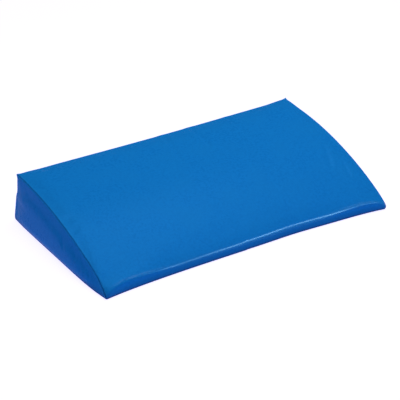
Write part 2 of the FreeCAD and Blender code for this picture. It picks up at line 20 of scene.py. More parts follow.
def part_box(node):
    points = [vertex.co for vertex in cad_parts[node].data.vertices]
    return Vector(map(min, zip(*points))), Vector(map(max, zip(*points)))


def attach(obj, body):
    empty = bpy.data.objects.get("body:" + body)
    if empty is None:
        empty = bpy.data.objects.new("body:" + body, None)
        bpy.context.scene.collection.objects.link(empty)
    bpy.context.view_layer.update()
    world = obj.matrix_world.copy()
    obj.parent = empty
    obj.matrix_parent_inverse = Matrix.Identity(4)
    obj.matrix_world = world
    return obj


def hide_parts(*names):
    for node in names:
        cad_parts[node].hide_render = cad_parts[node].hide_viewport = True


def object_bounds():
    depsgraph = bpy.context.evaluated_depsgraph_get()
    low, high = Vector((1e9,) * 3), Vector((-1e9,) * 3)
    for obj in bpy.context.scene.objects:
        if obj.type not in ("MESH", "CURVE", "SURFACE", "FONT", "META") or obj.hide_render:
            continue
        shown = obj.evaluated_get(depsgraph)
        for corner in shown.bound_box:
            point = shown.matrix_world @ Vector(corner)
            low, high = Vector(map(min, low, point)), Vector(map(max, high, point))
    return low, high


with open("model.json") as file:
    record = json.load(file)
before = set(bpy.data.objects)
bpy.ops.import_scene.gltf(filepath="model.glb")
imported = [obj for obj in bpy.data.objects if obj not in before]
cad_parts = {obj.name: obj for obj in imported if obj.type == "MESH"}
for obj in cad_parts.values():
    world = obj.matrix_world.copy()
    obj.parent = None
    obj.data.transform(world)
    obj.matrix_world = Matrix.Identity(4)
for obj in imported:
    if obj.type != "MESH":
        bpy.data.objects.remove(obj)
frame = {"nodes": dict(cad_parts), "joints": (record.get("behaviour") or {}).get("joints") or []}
cad_low, cad_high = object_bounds()
scene = bpy.context.scene
scene.view_settings.view_transform = "Standard"
MM = 0.001
print("CAD box", tuple(cad_low), tuple(cad_high))

# %% [markdown]
# ## Sizes
#
# The section of the mat is a flat base, a lip at the front, a back that leans forward and a crowned
# top. The crown is one arc over the chord from the top of the lip to the top of the back, as it is
# in the CAD model, so its centre and radius follow from three points. Real covers are sewn a little
# short: the seams are pulled in between the corners, and the corners stay out as points. Those pulls
# are set here too.

# %% Sizes of the section and of the pulls
HALF_LENGTH = cad_high.x
FRONT_Y = cad_low.y
BACK_Y = cad_high.y
LIP_HEIGHT = 30 * MM
BACK_HEIGHT = 200 * MM
BACK_LEAN = 24 * MM
CROWN_RISE = 50 * MM

FRONT_PULL = 22 * MM        # the front edge's middle stands back by this much
FRONT_PULL_REACH = {-1: 200 * MM, 1: 120 * MM}      # left and right of the middle
LEFT_FORWARD = 9 * MM       # the left front corner stands forward
FRONT_DENT = (210 * MM, 120 * MM, 5 * MM)
TOE_OUT = {-1: 10 * MM, 1: 6 * MM}                   # both front corners stand out sideways
END_FADE = 60 * MM          # how far along the mat the shape of an end reaches
BOW_RISE, BOW_FALL, TOE_FADE = 0.07, 2.2, 0.04      # as shares of the depth
TOP_BULGE = 9 * MM          # the top seam of an end panel bows outward by this much
FOOT_BULGE = 21 * MM        # and its bottom seam by this much
FOOT_ROLL = 5 * MM          # the foot of an end panel rolls under by this much
FOOT_ROLL_HEIGHT = 8 * MM
LEFT_BACK_PULL = 6 * MM     # the left back corner is pulled in at its top
LEFT_FOOT_OUT = 6 * MM      # and stands out at its foot
BACK_LIFT = {-1: 5.5 * MM, 1: 3.5 * MM}             # the back top edge rises to its corners
PUFF = 2 * MM               # how far a panel's middle stands out from its seams

chord = Vector((BACK_Y - BACK_LEAN - FRONT_Y, BACK_HEIGHT - LIP_HEIGHT))
CROWN_RADIUS = chord.length_squared / (8 * CROWN_RISE) + CROWN_RISE / 2
chord_middle = Vector((FRONT_Y, LIP_HEIGHT)) + chord / 2
downward = Vector((chord.y, -chord.x)).normalized()
crown_centre = chord_middle + downward * (CROWN_RADIUS - CROWN_RISE)
print("crown radius", round(CROWN_RADIUS, 3))


def crown_height(y):
    """Height of the crown's arc over a place from front to back."""
    return crown_centre.y + np.sqrt(CROWN_RADIUS**2 - (np.asarray(y) - crown_centre.x) ** 2)


def smooth_step(low, high, value):
    t = np.clip((np.asarray(value, float) - low) / (high - low), 0, 1)
    return t * t * (3 - 2 * t)


# %% [markdown]
# ## Where the zip runs
#
# The zip lies on the leaning back face. The hinge of its pull tab is stored in the frame, and it
# gives the zip's own directions: the hinge axis points down the back face, and what is square to
# that axis and to X points out of it.

# %% The zip's directions
tab_hinge = next(j for j in frame["joints"] if j["name"] == "pull_tab_hinge")
UP = -Vector(tab_hinge["axis"]).normalized()
OUT = UP.cross(Vector((1, 0, 0))).normalized()
PIN_OUT = 3.5 * MM
SLIDER_X = tab_hinge["pos_m"][0]
zip_origin = Vector(tab_hinge["pos_m"]) - OUT * PIN_OUT
zip_origin.x = 0
ZIP_MATRIX = Matrix((
    (1, UP.x, OUT.x, 0),
    (0, UP.y, OUT.y, zip_origin.y),
    (0, UP.z, OUT.z, zip_origin.z),
    (0, 0, 0, 1),
))
window_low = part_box("back_lower_panel")[1].z
window_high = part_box("back_upper_panel")[0].z
print("zip window from", round(window_low, 4), "to", round(window_high, 4))


# %% [markdown]
# ## Shader maths
#
# Nodes are easier to read as formulas. A small class wraps a socket, so that adding or multiplying
# two of them adds the Math node that does it, and one method makes every other node.

# %% A socket that takes part in formulas
MIX_FACTOR, MIX_FIRST, MIX_SECOND, MIX_COLOUR = 0, 6, 7, 2


class Wire:
    def __init__(self, shader, socket):
        self.shader = shader
        self.socket = socket

    def maths(self, operation, *operands):
        inputs = dict(enumerate(operands))
        return self.shader.node("ShaderNodeMath", {"operation": operation}, inputs)

    def __add__(self, other):
        return self.maths("ADD", self, other)

    __radd__ = __add__

    def __mul__(self, other):
        return self.maths("MULTIPLY", self, other)

    __rmul__ = __mul__

    def __sub__(self, other):
        return self.maths("SUBTRACT", self, other)

    def __rsub__(self, other):
        return self.maths("SUBTRACT", other, self)

    def sine(self):
        return self.maths("SINE", self)


class Shader:
    """A material with a Principled BSDF, and the method that adds nodes to it."""

    def __init__(self, name, **constants):
        self.material = bpy.data.materials.new(name)
        self.material.use_nodes = True
        self.tree = self.material.node_tree
        self.tree.nodes.clear()
        inputs = {socket_name.replace("_", " "): value for socket_name, value in constants.items()}
        surface = self.node("ShaderNodeBsdfPrincipled", {}, inputs)
        self.principled = surface.socket.node
        self.node("ShaderNodeOutputMaterial", {}, {"Surface": surface}, output=None)
        self.place = self.node("ShaderNodeTexCoord", {}, {}, "Object")

    def feed(self, socket, value):
        if isinstance(value, Wire):
            self.tree.links.new(value.socket, socket)
        else:
            socket.default_value = value

    def node(self, kind, settings, inputs, output=0):
        """Add a node, set what it is first, then feed its sockets, and give back one output."""
        node = self.tree.nodes.new(kind)
        for name, value in settings.items():
            setattr(node, name, value)
        for name, value in inputs.items():
            self.feed(node.inputs[name], value)
        return None if output is None else Wire(self, node.outputs[output])

    def noise(self, scale, detail=2.0, place=None):
        inputs = {"Vector": place or self.place, "Scale": scale, "Detail": detail}
        return self.node("ShaderNodeTexNoise", {}, inputs, "Fac")

    def cells(self, scale, feature="F1"):
        inputs = {"Vector": self.place, "Scale": scale}
        return self.node("ShaderNodeTexVoronoi", {"feature": feature}, inputs, "Distance")

    def stretched(self, x, y, z):
        return self.node("ShaderNodeMapping", {}, {"Vector": self.place, "Scale": (x, y, z)})

    def between(self, factor, first, second):
        """A colour from first to second. The Mix node has sockets for numbers, vectors and
        colours, so its colour sockets go by their places."""
        inputs = {MIX_FACTOR: factor, MIX_FIRST: first, MIX_SECOND: second}
        return self.node("ShaderNodeMix", {"data_type": "RGBA"}, inputs, MIX_COLOUR)

    def clamp(self, value, low, high):
        inputs = {"Value": value, "From Min": low, "From Max": high}
        return self.node("ShaderNodeMapRange", {"interpolation_type": "SMOOTHSTEP"}, inputs)

    def attribute(self, name):
        return self.node("ShaderNodeAttribute", {"attribute_name": name}, {}, "Fac")

    def along(self, axis):
        return self.node("ShaderNodeSeparateXYZ", {}, {"Vector": self.place}, axis)

    def bump(self, height, distance):
        inputs = {"Height": height, "Distance": distance, "Strength": 1.0}
        self.set("Normal", self.node("ShaderNodeBump", {}, inputs, "Normal"))

    def set(self, socket_name, value):
        self.feed(self.principled.inputs[socket_name], value)


def linear(red, green, blue):
    """A colour given as 0 to 255 on a screen, as the renderer wants it."""
    parts = [c / 255 for c in (red, green, blue)]
    return (*[p / 12.92 if p <= 0.04045 else ((p + 0.055) / 1.055) ** 2.4 for p in parts], 1.0)


# %% [markdown]
# ## The coated fabric
# The cover is polyester cloth coated with soft plastic: smooth, satin, with a very fine pebbled
# grain pressed into it. The colour is nearly even, a little mottled at a few millimetres. Near the
# seams its colour carries painted light: a painted highlight, a shade lighter, on the ridge, and
# painted shade, darker, in the groove. That follows an attribute, seam_gap, which each panel
# carries: metres from the nearest seam. A second attribute, nose_roll, rises to 1 along the roll
# over the lip, where the coating is stretched and rubbed to a polish, and fades out towards the
# left end; there the colour is also lightened as a painted highlight. Towards the ground the colour
# darkens, most in the lowest centimetre and faintly up to about three: painted shade at the foot.

# %% The cover's material
def coated_fabric():
    shader = Shader("coated_fabric", Specular_IOR_Level=0.005, Coat_Roughness=0.2,
                    Coat_IOR=1.8)
    blotches = shader.noise(9.0, 3.0)
    mottle = shader.noise(110.0, 3.0)
    pebbles = shader.cells(620.0, "SMOOTH_F1")
    fine = shader.noise(1500.0, 2.0)
    seam_gap = shader.attribute("seam_gap")
    nose_roll = shader.attribute("nose_roll")
    # painted light from the seams: painted shade darkens the groove, a painted highlight lightens the
    # ridge
    groove = 1 - shader.clamp(seam_gap, 0.0, 0.0035)
    ridge = shader.clamp(seam_gap, 0.001, 0.004) - shader.clamp(seam_gap, 0.004, 0.010)
    height = shader.along("Z")
    # painted shade: the colour darkens towards the ground, where the foot meets and faces the floor
    foot = 0.5 * (1 - shader.clamp(height, 0.003, 0.012))
    foot = foot + 0.35 * (1 - shader.clamp(height, 0.004, 0.034))
    blue = shader.between(shader.clamp(mottle, 0.3, 0.7), COVER_DEEP, COVER_LIGHT)
    blue = shader.between(shader.clamp(blotches, 0.25, 0.75) * 0.35, blue, COVER_SOFT)
    # painted highlight: the colour is lightened on the ridge beside a seam and along the lip's roll
    blue = shader.between(ridge * 0.15 + nose_roll * 0.20, blue, COVER_PAINTED_HIGHLIGHT)
    # painted shade in the seam's groove
    blue = shader.between(groove * 0.55, blue, COVER_SHADE)
    # painted shade at the foot, near the ground
    blue = shader.between(foot * (0.8 + 0.4 * mottle), blue, COVER_FOOT_SHADE)
    shader.set("Base Color", blue)
    shader.set("Roughness", 0.22 + 0.08 * mottle + 0.05 * blotches + 0.05 * ridge + 0.2 * foot)
    shader.set("Metallic", 0.03 + 0.05 * nose_roll)
    shader.set("Coat Weight", 0.75 * nose_roll)
    shader.bump(pebbles * 0.6 + fine * 0.4 + mottle * 1.2, 0.00012)
    return shader.material


COVER_DEEP = linear(13, 104, 182)
COVER_LIGHT = linear(15, 110, 189)
COVER_SOFT = linear(19, 111, 184)
# the colour of the painted highlight on seam ridges and on the lip's roll
COVER_PAINTED_HIGHLIGHT = linear(40, 136, 206)
# the colour of the painted shade in a seam's groove
COVER_SHADE = linear(8, 60, 130)
# the colour of the painted shade at the foot
COVER_FOOT_SHADE = linear(22, 34, 76)
cover_finish = coated_fabric()


# %% [markdown]
# ## The block that the cover is shaped from
#
# The cover starts as one closed box, so that its panels share every point of their seams. A cube is
# subdivided along each axis, and then each of its points is moved to its place on the mat. The
# spacing is finer towards the edges, where the fabric turns, and on the back there are rows exactly
# on both edges of the zip's window.

# %% The even block
CUTS_X, CUTS_Y = 168, 100
ROWS_BELOW, ROWS_WINDOW, ROWS_ABOVE = 8, 2, 18
ROWS = ROWS_BELOW + ROWS_WINDOW + ROWS_ABOVE
TOP, BASE, FRONT, BACK, LEFT, RIGHT, WINDOW = range(7)


def span(edge, axis):
    """How far an edge runs along an axis."""
    return abs((edge.verts[0].co - edge.verts[1].co)[axis])


def subdivided_cube(cuts):
    """A unit cube cut into this many rows along each axis. Faces are marked with their side."""
    block = bmesh.new()
    bmesh.ops.create_cube(block, size=1.0)
    for axis, count in enumerate(cuts):
        along = [e for e in block.edges if span(e, axis) > 0.5]
        bmesh.ops.subdivide_edges(block, edges=along, cuts=count - 1, use_grid_fill=True)
    bmesh.ops.translate(block, verts=block.verts, vec=(0.5, 0.5, 0.5))
    block.normal_update()
    sides = {(0, 0, 1): TOP, (0, 0, -1): BASE, (0, -1, 0): FRONT, (0, 1, 0): BACK}
    sides.update({(-1, 0, 0): LEFT, (1, 0, 0): RIGHT})
    for face in block.faces:
        face.material_index = sides[tuple(round(c) for c in face.normal)]
    return block


def spacing(count, first, reach):
    """Fractions from 0 to 1 in count steps, finer towards both ends: the first step is that
    share of a middle one."""
    middles = (np.arange(count) + 0.5) / count
    steps = 1 - (1 - first) * (np.exp(-middles / reach) + np.exp(-(1 - middles) / reach))
    places = np.concatenate([[0.0], np.cumsum(steps)])
    return places / places[-1]


block = subdivided_cube((CUTS_X, CUTS_Y, ROWS))
print("block", len(block.verts), "points", len(block.faces), "faces")

# %% [markdown]
# ## The section, place by place
#
# The top panel runs over the lip without a seam, so the front and the top are one curve: up the
# lip's face, round a tight nose, and along the crown's arc. Between the corners the base seam is
# pulled back. At an end the lip is drawn down to a low beak, and the slope from there up to the
# crown is steeper. Each section is the lip's face, a curve that rises from the nose, and the arc,
# read off at even steps and then smoothed by a running average, which rounds the nose. The average
# is wider towards the left front corner, where the fabric stands softer.

# %% The curve over the lip and the top
NOSE_MIDDLE = 31 * MM        # where the lip's face meets the crown, before it is rounded
NOSE_LEFT = 47 * MM          # the same near the left end, where the fabric stands fuller
NOSE_RIGHT = 42 * MM
NOSE_REACH = (60 * MM, 320 * MM)
BEAK_HEIGHT = 15 * MM        # and at the very ends
BEAK_REACH = 20 * MM         # how fast the beak opens into the full lip
FOOT_BACK = 7 * MM           # the lip's face leans out this much from its foot
NOSE_SOFT = 5.5 * MM         # width of the running average
CORNER_SOFT = 7 * MM         # and what is added to it near the left front corner
CORNER_REACH = 90 * MM
LIFT_REACH = 450 * MM        # the lift of the back edge fades out this far down the slope
JOIN_AT_END, JOIN_INSIDE = 105 * MM, 45 * MM     # the crown begins this far behind the nose
FRONT_RISE = 0.45            # how early the slope behind the nose bends into the crown
SAMPLE = 1 * MM


def from_end(x):
    """Distance from the nearer end of the mat."""
    return HALF_LENGTH - abs(x)


def side_of(x):
    return -1 if x < 0 else 1


def front_pull(x):
    """How far the front edge stands back from the CAD box, place by place along the mat."""
    gap = from_end(x)
    pull = FRONT_PULL * (1 - math.exp(-gap / FRONT_PULL_REACH[side_of(x)]))
    dent_at, dent_reach, dent = FRONT_DENT
    pull += dent * math.exp(-(((x - dent_at) / dent_reach) ** 2))
    return pull - (LEFT_FORWARD * math.exp(-gap / FRONT_PULL_REACH[-1]) if x < 0 else 0.0)


def back_lift(x):
    share = abs(x) / HALF_LENGTH
    lift = BACK_LIFT[side_of(x)] * share**1.5
    return lift * (1 - share**8) if x < 0 else lift


def lengths_along(points):
    steps = np.linalg.norm(np.diff(points, axis=0), axis=1)
    return np.concatenate([[0], np.cumsum(steps)])


def read_at(at, lengths, points):
    """Points at these lengths along a line."""
    return np.column_stack([np.interp(at, lengths, column) for column in points.T])


def even_steps(points, step):
    lengths = lengths_along(points)
    return read_at(np.linspace(0, lengths[-1], max(2, round(lengths[-1] / step))), lengths, points)


def running_average(points, width):
    reach = int(math.ceil(3 * width / SAMPLE))
    weights = np.exp(-0.5 * (np.arange(-reach, reach + 1) * SAMPLE / width) ** 2)
    weights /= weights.sum()
    before = 2 * points[0] - points[reach:0:-1]
    after = 2 * points[-1] - points[-2 : -reach - 2 : -1]
    padded = np.vstack([before, points, after])
    return np.column_stack([np.convolve(padded[:, k], weights, "valid") for k in range(2)])


def section(x):
    """Points (y, z) from the base seam round the lip and over the crown to the back top seam,
    and the length along them of the nose."""
    gap = from_end(x)
    opened = 1 - math.exp(-gap / BEAK_REACH)
    front = FRONT_Y + front_pull(x)
    full = NOSE_LEFT if x < 0 else NOSE_RIGHT
    full += (NOSE_MIDDLE - full) * float(smooth_step(*NOSE_REACH, gap))
    nose_z = BEAK_HEIGHT + (full - BEAK_HEIGHT) * opened
    join = front + JOIN_AT_END + (JOIN_INSIDE - JOIN_AT_END) * opened
    y = np.linspace(join, BACK_Y - BACK_LEAN, 300)
    crown = crown_height(y) - PUFF + back_lift(x) * smooth_step(BACK_Y - LIFT_REACH, BACK_Y, y)
    slope = (crown[1] - crown[0]) / (y[1] - y[0])
    nose = np.array((front, nose_z))
    head = np.array((join, crown[0]))
    reach = np.linalg.norm(head - nose)
    lean = np.array((1.0, slope)) / math.hypot(1.0, slope)
    t = np.linspace(0, 1, 40)[:, None]
    rise = (1 - t) ** 2 * nose + 2 * (1 - t) * t * (head - lean * reach * FRONT_RISE) + t**2 * head
    foot = np.array([(front + FOOT_BACK, 0.0), (front + 0.2 * FOOT_BACK, 0.12 * nose_z)])
    path = np.vstack([foot, rise, np.column_stack([y, crown])[1:]])
    nose_at = np.linalg.norm(np.diff(path[:3], axis=0), axis=1).sum()
    soft = NOSE_SOFT + (CORNER_SOFT if x < 0 else 0.0) * math.exp(-((gap / CORNER_REACH) ** 2))
    return running_average(even_steps(path, SAMPLE), soft), nose_at


# %% Place the block's points
steps_x = spacing(CUTS_X, 0.30, 0.035)
steps_y = spacing(CUTS_Y, 0.30, 0.05)
window = np.array([window_low, window_high]) / BACK_HEIGHT
steps_z = np.concatenate([
    spacing(ROWS_BELOW, 0.35, 0.12) * window[0],
    np.linspace(window[0], window[1], ROWS_WINDOW + 1)[1:],
    window[1] + spacing(ROWS_ABOVE, 0.45, 0.08)[1:] * (1 - window[1]),
])


def end_bow(y, z, side):
    """How far an end stands out, from front to back and up: its seams bow outward quickly from the
    front corner and slowly from the back one, its foot rolls under, and one back corner is pulled
    in."""
    t = np.clip((y - FRONT_Y) / (BACK_Y - FRONT_Y), 0, 1)
    share = np.clip(z / np.maximum(crown_height(y), BEAK_HEIGHT), 0, 1)
    bulge = FOOT_BULGE + (TOP_BULGE - FOOT_BULGE) * share
    bow = bulge * (1 - np.exp(-t / BOW_RISE)) * (1 - t**BOW_FALL) + TOE_OUT[side] * np.exp(-t / TOE_FADE)
    roll_under = FOOT_ROLL * math.exp(-z / FOOT_ROLL_HEIGHT)
    if side < 0:
        bow = bow - LEFT_BACK_PULL * smooth_step(0.75, 1.0, t) * smooth_step(0.07, 0.20, z)
        bow = bow + LEFT_FOOT_OUT * smooth_step(0.45, 1.0, t) * (1 - smooth_step(0.0, 0.10, z))
    return bow - roll_under


def read_curve(points, shares):
    lengths = lengths_along(points)
    return read_at(shares * lengths[-1], lengths, points)


def back_shares(top_z):
    """Fractions up the back for its rows. Both edges of the zip's window keep their height, and
    only the rows above them stretch when the top edge rises."""
    heights = steps_z * BACK_HEIGHT
    stretch = (top_z - window_high) / (BACK_HEIGHT - window_high)
    stretched = window_high + (heights - window_high) * stretch
    return np.where(heights > window_high, stretched, heights) / top_z


def mat_sections():
    """For each station along X: the lip's points, the top's, the back's and the base's."""
    stations = []
    foot = np.array((BACK_Y, 0.0))
    for x in (2 * steps_x - 1) * HALF_LENGTH:
        points, nose_at = section(x)
        corner = round(nose_at / SAMPLE)
        lip = read_curve(points[: corner + 1], steps_z)
        top = read_curve(points[corner:], steps_y)
        back = foot + back_shares(top[-1][1])[:, None] * (top[-1] - foot)
        base = lip[0] + steps_y[:, None] * (foot - lip[0])
        stations.append((x, lip, top, back, base))
    return stations


def inside_patch(lip, top, back, base):
    """An end panel's points between its four edges, as a Coons patch."""
    u = steps_y[:, None, None]
    w = steps_z[None, :, None]
    across = (1 - u) * lip[None] + u * back[None]
    upward = (1 - w) * base[:, None] + w * top[:, None]
    corners = (1 - u) * ((1 - w) * base[0] + w * top[0]) + u * ((1 - w) * base[-1] + w * top[-1])
    return across + upward - corners


def place_points(block):
    stations = mat_sections()
    ends = {side: inside_patch(*stations[side][1:]) for side in (0, CUTS_X)}
    for vert in block.verts:
        i = round(vert.co.x * CUTS_X)
        j = round(vert.co.y * CUTS_Y)
        k = round(vert.co.z * ROWS)
        x, lip, top, back, base = stations[i]
        if k == ROWS:
            y, z = top[j]
        elif k == 0:
            y, z = base[j]
        elif j == 0:
            y, z = lip[k]
        elif j == CUTS_Y:
            y, z = back[k]
        else:
            y, z = ends[i][j, k]
        side = 1 if x > 0 else -1
        fade = math.exp(-from_end(x) / END_FADE)
        vert.co = (x + side * fade * end_bow(y, z, side), y, z)


place_points(block)
block.normal_update()
print("shaped", [round(max(v.co[k] for v in block.verts), 4) for k in range(3)])

# %% [markdown]
# ## Panels that stand proud of their seams
#
# Foam pushes each panel out, and the thread holds its edges back, so a panel is domed: it rises
# steeply within a few centimetres of a seam and then levels out. A KD tree over the points on the
# seams gives each point's distance from the nearest one. The back stays straight where the zip
# runs, and the base stays flat on the ground.

# %% Which points are on seams
SEAM_PAIRS = {
    "left_end": {(LEFT, s) for s in (TOP, FRONT, BASE, BACK)},
    "right_end": {(RIGHT, s) for s in (TOP, FRONT, BASE, BACK)},
    "back_top": {(TOP, BACK)},
    "base_front": {(BASE, FRONT)},
    "base_back": {(BASE, BACK)},
}


def seam_edges(block, pairs):
    wanted = {frozenset(pair) for pair in pairs}
    sides = {e: frozenset(f.material_index for f in e.link_faces) for e in block.edges}
    return [e for e, met in sides.items() if met in wanted]


all_pairs = set().union(*SEAM_PAIRS.values())
seam_of_vert = {v.index for e in seam_edges(block, all_pairs) for v in e.verts}
print("points on seams", len(seam_of_vert))


def tree_of(verts):
    """A KD tree that finds the nearest of these points, and its index."""
    tree = KDTree(len(verts))
    for vert in verts:
        tree.insert(vert.co, vert.index)
    tree.balance()
    return tree


def seam_tree(block):
    return tree_of([v for v in block.verts if v.index in seam_of_vert])


HELD_DEPTH, HELD_BESIDE = (0.006, 0.060), (0.022, 0.090)


def away_from_zip(co):
    """0 on the strip of the back where the zip is sewn, 1 well away from it."""
    depth = -(co - zip_origin).dot(OUT)
    near_back = 1 - float(smooth_step(*HELD_DEPTH, depth))
    beside = float(smooth_step(*HELD_BESIDE, abs((co - zip_origin).dot(UP))))
    return 1 - near_back * (1 - beside)


# %% Dome the panels
PUFF_OF_SIDE = {TOP: PUFF, FRONT: 0.003, BASE: 0.0, BACK: 0.005, LEFT: 0.006, RIGHT: 0.006}
PUFF_REACH = 0.035          # all in metres


def dome(block):
    tree = seam_tree(block)
    moves = []
    for vert in block.verts:
        gap = tree.find(vert.co)[2]
        puff = sum(PUFF_OF_SIDE[f.material_index] for f in vert.link_faces) / len(vert.link_faces)
        rise = puff * (1 - math.exp(-gap / PUFF_REACH)) * away_from_zip(vert.co)
        moves.append(vert.normal * rise)
    for vert, move in zip(block.verts, moves):
        vert.co += move
        vert.co.z = max(vert.co.z, 0.0)


dome(block)
block.normal_update()
print("domed height", round(max(v.co.z for v in block.verts), 4))

# %% [markdown]
# ## Inflate it as cloth
#
# Real fabric also gathers a little where it is stretched over the foam, most at the corners and
# along the seams. That comes from a cloth simulation of the closed block: a gentle pressure from
# inside, no gravity, and the base and the zip's strip pinned. Nothing may move more than a few
# millimetres, and the foot and the corners keep their place, so the sizes hold.

# %% Cloth simulation
CLOTH_CAP = 5 * MM
CLOTH_FRAMES = 20
CORNER_STIFF = 0.11
FOOT_STIFF = 30 * MM
CLOTH = {
    "vertex_group_mass": "pins",
    "quality": 5,
    "mass": 0.3,
    "tension_stiffness": 40,
    "compression_stiffness": 25,
    "shear_stiffness": 12,
    "bending_stiffness": 0.6,
    "shrink_min": -0.005,
    "use_pressure": True,
    "uniform_pressure_force": 4.0,
}


def inflate(block):
    mesh = bpy.data.meshes.new("cover_block")
    block.to_mesh(mesh)
    cloth_object = bpy.data.objects.new("cover_block", mesh)
    scene.collection.objects.link(cloth_object)
    pins = cloth_object.vertex_groups.new(name="pins")
    for vert in block.verts:
        on_base = all(f.material_index == BASE for f in vert.link_faces)
        held = 1.0 if on_base else 1 - away_from_zip(vert.co)
        pins.add([vert.index], held, "REPLACE")
    cloth = cloth_object.modifiers.new("cloth", "CLOTH")
    for setting, value in CLOTH.items():
        setattr(cloth.settings, setting, value)
    cloth.settings.effector_weights.gravity = 0.0
    cloth.collision_settings.use_collision = False
    for step in range(1, CLOTH_FRAMES + 1):
        scene.frame_set(step)
    settled = cloth_object.evaluated_get(bpy.context.evaluated_depsgraph_get())
    places = [v.co.copy() for v in settled.data.vertices]
    scene.frame_set(1)
    bpy.data.objects.remove(cloth_object)
    bpy.data.meshes.remove(mesh)
    return places


def corner_tree(block):
    """The block's eight corners, where three panels meet."""
    return tree_of([v for v in block.verts if len({f.material_index for f in v.link_faces}) > 2])


def settle(block, places):
    """Move each point towards where the cloth went, by no more than the cap. The corners are
    stiff with folded allowances, so they keep their place."""
    furthest = 0.0
    corners = corner_tree(block)
    for vert, place in zip(block.verts, places):
        move = place - vert.co
        cap = CLOTH_CAP * away_from_zip(vert.co) * float(smooth_step(0.0, FOOT_STIFF, vert.co.z))
        cap *= float(smooth_step(0.0, CORNER_STIFF, corners.find(vert.co)[2]))
        if move.length > 1e-9:
            move *= cap * math.tanh(move.length / max(cap, 1e-6)) / move.length
        furthest = max(furthest, move.length)
        vert.co += move
        vert.co.z = max(vert.co.z, 0.0)
    return furthest


print("cloth moved", round(settle(block, inflate(block)) * 1000, 2), "mm")
block.normal_update()

# %% [markdown]
# ## Corners that stand out
#
# Three seams meet at each upper back corner, and their allowances are packed inside it, so the
# corner of the turned cover stands out as a small firm point, with the panels falling away round
# it.

# %% Ears at the back corners
EAR = 3.6 * MM
EAR_REACH = 9 * MM
EAR_HOLLOW = 0.6 * MM
EAR_LIMIT, HOLLOW_AT, HOLLOW_WIDTH = 6, 2.4, 1.2     # in reaches of the ear


def push_ears(block):
    tops = [v for v in block.verts if {TOP, BACK} < {f.material_index for f in v.link_faces}]
    for corner in tops:
        centre = corner.co.copy()
        outward = corner.normal.copy()
        for vert in block.verts:
            gap = (vert.co - centre).length / EAR_REACH
            if gap < EAR_LIMIT:
                hollow = math.exp(-((gap - HOLLOW_AT) ** 2) / HOLLOW_WIDTH)
                vert.co += outward * (EAR * math.exp(-gap * gap) - EAR_HOLLOW * hollow)
    return len(tops)


print("ears", push_ears(block))
block.normal_update()

# %% [markdown]
# ## Creases in the top
#
# A few short soft creases run down from the back seam, where the fabric is gathered on the thread,
# two more stand near the right end, and there is one shallow dimple behind the lip. Each is a
# small displacement along a short line: a valley with a low shoulder on each side.

# %% Creases
CREASES = [
    ((0.020, 0.300), (-0.022, 0.105), 0.009, 0.0020),
    ((0.145, 0.300), (0.128, 0.140), 0.009, 0.0024),
    ((0.310, 0.300), (0.300, 0.162), 0.008, 0.0020),
    ((0.531, -0.048), (0.490, -0.145), 0.009, 0.0022),
    ((0.545, -0.150), (0.532, -0.215), 0.007, 0.0018),
]
DIMPLE = ((-0.44, -0.270), 0.024, 0.0022)
CREASE_EDGE, CREASE_EDGE_AT = 0.35, 2.0      # the shoulders beside a valley


def crease_depth(place, start, end, width, depth):
    start, end = Vector(start), Vector(end)
    along = (end - start).normalized()
    run = min(max((place - start).dot(along), 0.0), (end - start).length)
    gap = (place - start - along * run).length / width
    return depth * (math.exp(-gap * gap) - CREASE_EDGE * math.exp(-((gap - CREASE_EDGE_AT) ** 2)))


def crease(block):
    for vert in block.verts:
        if not any(f.material_index == TOP for f in vert.link_faces):
            continue
        place = vert.co.xy
        depth = sum(crease_depth(place, *line) for line in CREASES)
        gap = (place - Vector(DIMPLE[0])).length / DIMPLE[1]
        depth += DIMPLE[2] * math.exp(-gap * gap)
        vert.co -= vert.normal * depth


crease(block)
block.normal_update()
print("creases", len(CREASES))

# %% [markdown]
# ## Cut the cover into its panels
#
# Now the block is cut along its seams. Each panel keeps its own edge, drawn down into the seam's
# groove, and turns inward as a seam allowance, which is how a cover that was sewn inside out
# looks when it is turned. The end panels show the allowance as a faint ridge beside the seam. The
# strip over the zip is left out, and its two edges stay plain. Solidify gives the fabric its
# thickness.

# %% Panels
FABRIC = 0.8 * MM
GROOVE = 1.5 * MM
SEAM_HALF_GAP = 0.35 * MM
ALLOWANCE = 6 * MM
ALLOWANCE_RIDGE = 0.9 * MM
ROLL_ABOVE, ROLL_WIDTH = 3.5 * MM, 4.5 * MM
ROLL_FROM, ROLL_FULL = -0.62, -0.10
WINDOW_HALF, WINDOW_END = 7.9 * MM, 592 * MM
RIDGE_AT, RIDGE_WIDTH = 7 * MM, 2.2 * MM

bisector = block.verts.layers.float_vector.new("bisector")
seam_mark = block.verts.layers.int.new("seam")
gap_layer = block.verts.layers.float.new("seam_gap")
roll_layer = block.verts.layers.float.new("nose_roll")
seam_places = seam_tree(block)
nose_places = tree_of([v for e in seam_edges(block, {(TOP, FRONT)}) for v in e.verts])
for vert in block.verts:
    vert[bisector] = vert.normal
    vert[seam_mark] = int(vert.index in seam_of_vert)
    vert[gap_layer] = seam_places.find(vert.co)[2]
    above_nose = nose_places.find(vert.co)[2]
    if any(f.material_index == FRONT for f in vert.link_faces):
        above_nose = -above_nose
    # nose_roll gives the roll its clear coat and also a painted highlight in its colour
    polish_and_highlight = math.exp(-(((above_nose - ROLL_ABOVE) / ROLL_WIDTH) ** 2))
    vert[roll_layer] = polish_and_highlight * float(smooth_step(ROLL_FROM, ROLL_FULL, vert.co.x))
for face in block.faces:
    middle = face.calc_center_median()
    over_zip = abs((middle - zip_origin).dot(UP)) < WINDOW_HALF and abs(middle.x) < WINDOW_END
    if face.material_index == BACK and over_zip:
        face.material_index = WINDOW


def as_mesh(name, shape):
    """Write a bmesh into a new mesh, and free it."""
    mesh = bpy.data.meshes.new(name)
    shape.to_mesh(mesh)
    shape.free()
    return mesh


